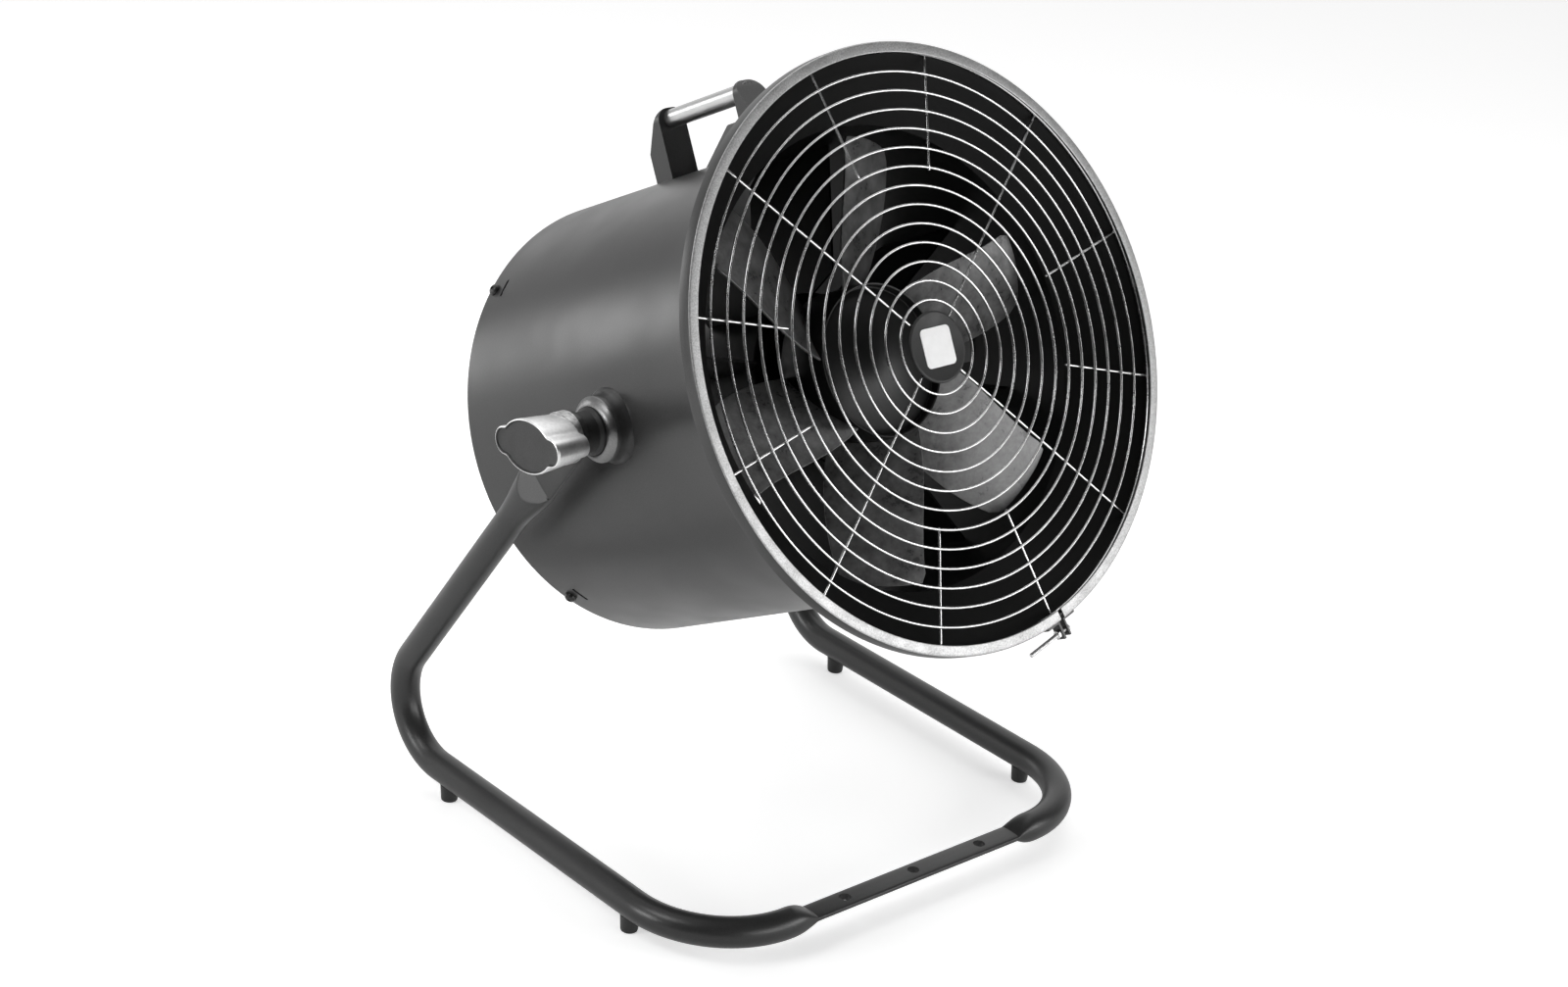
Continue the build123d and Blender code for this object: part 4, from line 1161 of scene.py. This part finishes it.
def cad_shapes():
    """CAD nodes whose shape is right: they get softer edges and their materials."""
    # How the node names start, their material, their body and the width of their bevels
    looks = (
        ("handle_bracket", DARK, "drum", 0.9),
        ("handle_screws", BRIGHT, "drum", 0.3),
        ("pivot_stud", BRIGHT, "drum", 0.3),
        ("motor_bolts", BRIGHT, "drum", 0.3),
        ("motor_shaft", BRIGHT, "impeller", 0.3),
        ("motor_housing", HUB_PAINT, "drum", 0.8),
        ("motor_cap", HUB_PAINT, "drum", 0.6),
        # The guide vanes take the darker inside paint: painted shade
        ("guide_vane", INSIDE_PAINTED_SHADE, "drum", 0.35),
        ("control_box", DARK, "drum", 1.0),
        ("control_lid", DARK, "drum", 0.6),
        ("speed_dial", BLACK, "dial", 0.5),
        ("power_rocker", BLACK, "rocker", 0.4),
        ("power_inlet", BLACK, "drum", 0.5),
    )
    for start, material, body, bevel in looks:
        for name in sorted(frame["nodes"]):
            if name.startswith(start):
                softened(name, material, body, bevel)


# ---------------------------------------------------------------- stage


def camera():
    """The photograph's viewpoint."""
    up = CAMERA_RIGHT.cross(CAMERA_FORWARD)
    data = bpy.data.cameras.new("camera")
    data.sensor_width = SENSOR
    data.lens = LENS
    data.clip_start = 0.05
    data.clip_end = 50
    made = bpy.data.objects.new("camera", data)
    bpy.context.scene.collection.objects.link(made)
    turn = Matrix((CAMERA_RIGHT, up, -CAMERA_FORWARD)).transposed()
    made.matrix_world = Matrix.Translation(CAMERA_PLACE) @ turn.to_4x4()
    bpy.context.scene.camera = made


def lamp(name, place, aim, size, watts):
    """A soft box at a place, aimed at a point."""
    data = bpy.data.lights.new(name, "AREA")
    data.shape = "RECTANGLE"
    data.size, data.size_y = size
    data.energy = watts
    made = bpy.data.objects.new(name, data)
    made.location = place
    made.rotation_mode = "QUATERNION"
    made.rotation_quaternion = (Vector(aim) - Vector(place)).to_track_quat("-Z", "Y")
    bpy.context.scene.collection.objects.link(made)


def floor():
    """Pale floor that looks white to the camera and keeps the shadow."""
    bpy.ops.mesh.primitive_plane_add(size=FLOOR_SIZE, location=(0, 0, 0))
    made = bpy.context.object
    made.name = "floor"
    paper, tree, shader = node_material("pale_floor", FLOOR_LEVEL, 0.0, 0.9)
    shader.inputs["Specular IOR Level"].default_value = 0.1
    path = tree.nodes.new("ShaderNodeLightPath")
    seen = tree.nodes.new("ShaderNodeMath")
    seen.operation = "MULTIPLY_ADD"
    tree.links.new(path.outputs["Is Glossy Ray"], seen.inputs[0])
    seen.inputs[1].default_value = GLOW_REFLECTED
    tree.links.new(path.outputs["Is Camera Ray"], seen.inputs[2])
    level = ramp_between(tree, seen.outputs["Value"], 0.0, FLOOR_GLOW, low_at=0.0, high_at=1.0)
    shader.inputs["Emission Color"].default_value = (1, 1, 1, 1)
    tree.links.new(level, shader.inputs["Emission Strength"])
    made.data.materials.append(paper)


def world():
    """White room behind the fan, dimmer in front and at the left; plain white to the camera."""
    made = bpy.data.worlds.new("studio")
    bpy.context.scene.world = made
    made.use_nodes = True
    tree = made.node_tree
    coords = tree.nodes.new("ShaderNodeTexCoord")
    split = tree.nodes.new("ShaderNodeSeparateXYZ")
    path = tree.nodes.new("ShaderNodeLightPath")
    # A world's generated coordinates are the direction looked in
    tree.links.new(coords.outputs["Generated"], split.inputs["Vector"])
    ahead, across = split.outputs["Y"], split.outputs["X"]
    depth = ramp_between(tree, ahead, ROOM_FRONT, ROOM_BACK, low_at=-0.3, high_at=0.4)
    side = ramp_between(tree, across, ROOM_LEFT, ROOM_RIGHT, low_at=-0.15, high_at=0.45)
    room = tree.nodes.new("ShaderNodeMath")
    room.operation = "MULTIPLY"
    tree.links.new(depth, room.inputs[0])
    tree.links.new(side, room.inputs[1])
    strength = tree.nodes.new("ShaderNodeMix")
    strength.data_type = "FLOAT"
    tree.links.new(path.outputs["Is Camera Ray"], strength.inputs["Factor"])
    tree.links.new(room.outputs["Value"], strength.inputs["A"])
    strength.inputs["B"].default_value = 1.0
    background = tree.nodes["Background"]
    background.inputs["Color"].default_value = (1, 1, 1, 1)
    tree.links.new(strength.outputs["Result"], background.inputs["Strength"])


bpy.context.view_layer.update()
stand()
feet()
shell()
front_grille()
middle_disc()
clamp_ring()
clamp_screw()
rear_guard()
rear_screws()
handle_grip()
blades()
hub()
nose()
for side, matrix in SIDES:
    knob(side, matrix)
for side, matrix in SIDES:
    dish(side, matrix)
    washer(side, matrix)
cad_shapes()
floor()
world()
for light in LAMPS:
    lamp(*light)
bpy.context.scene.view_settings.view_transform = "Standard"
camera()
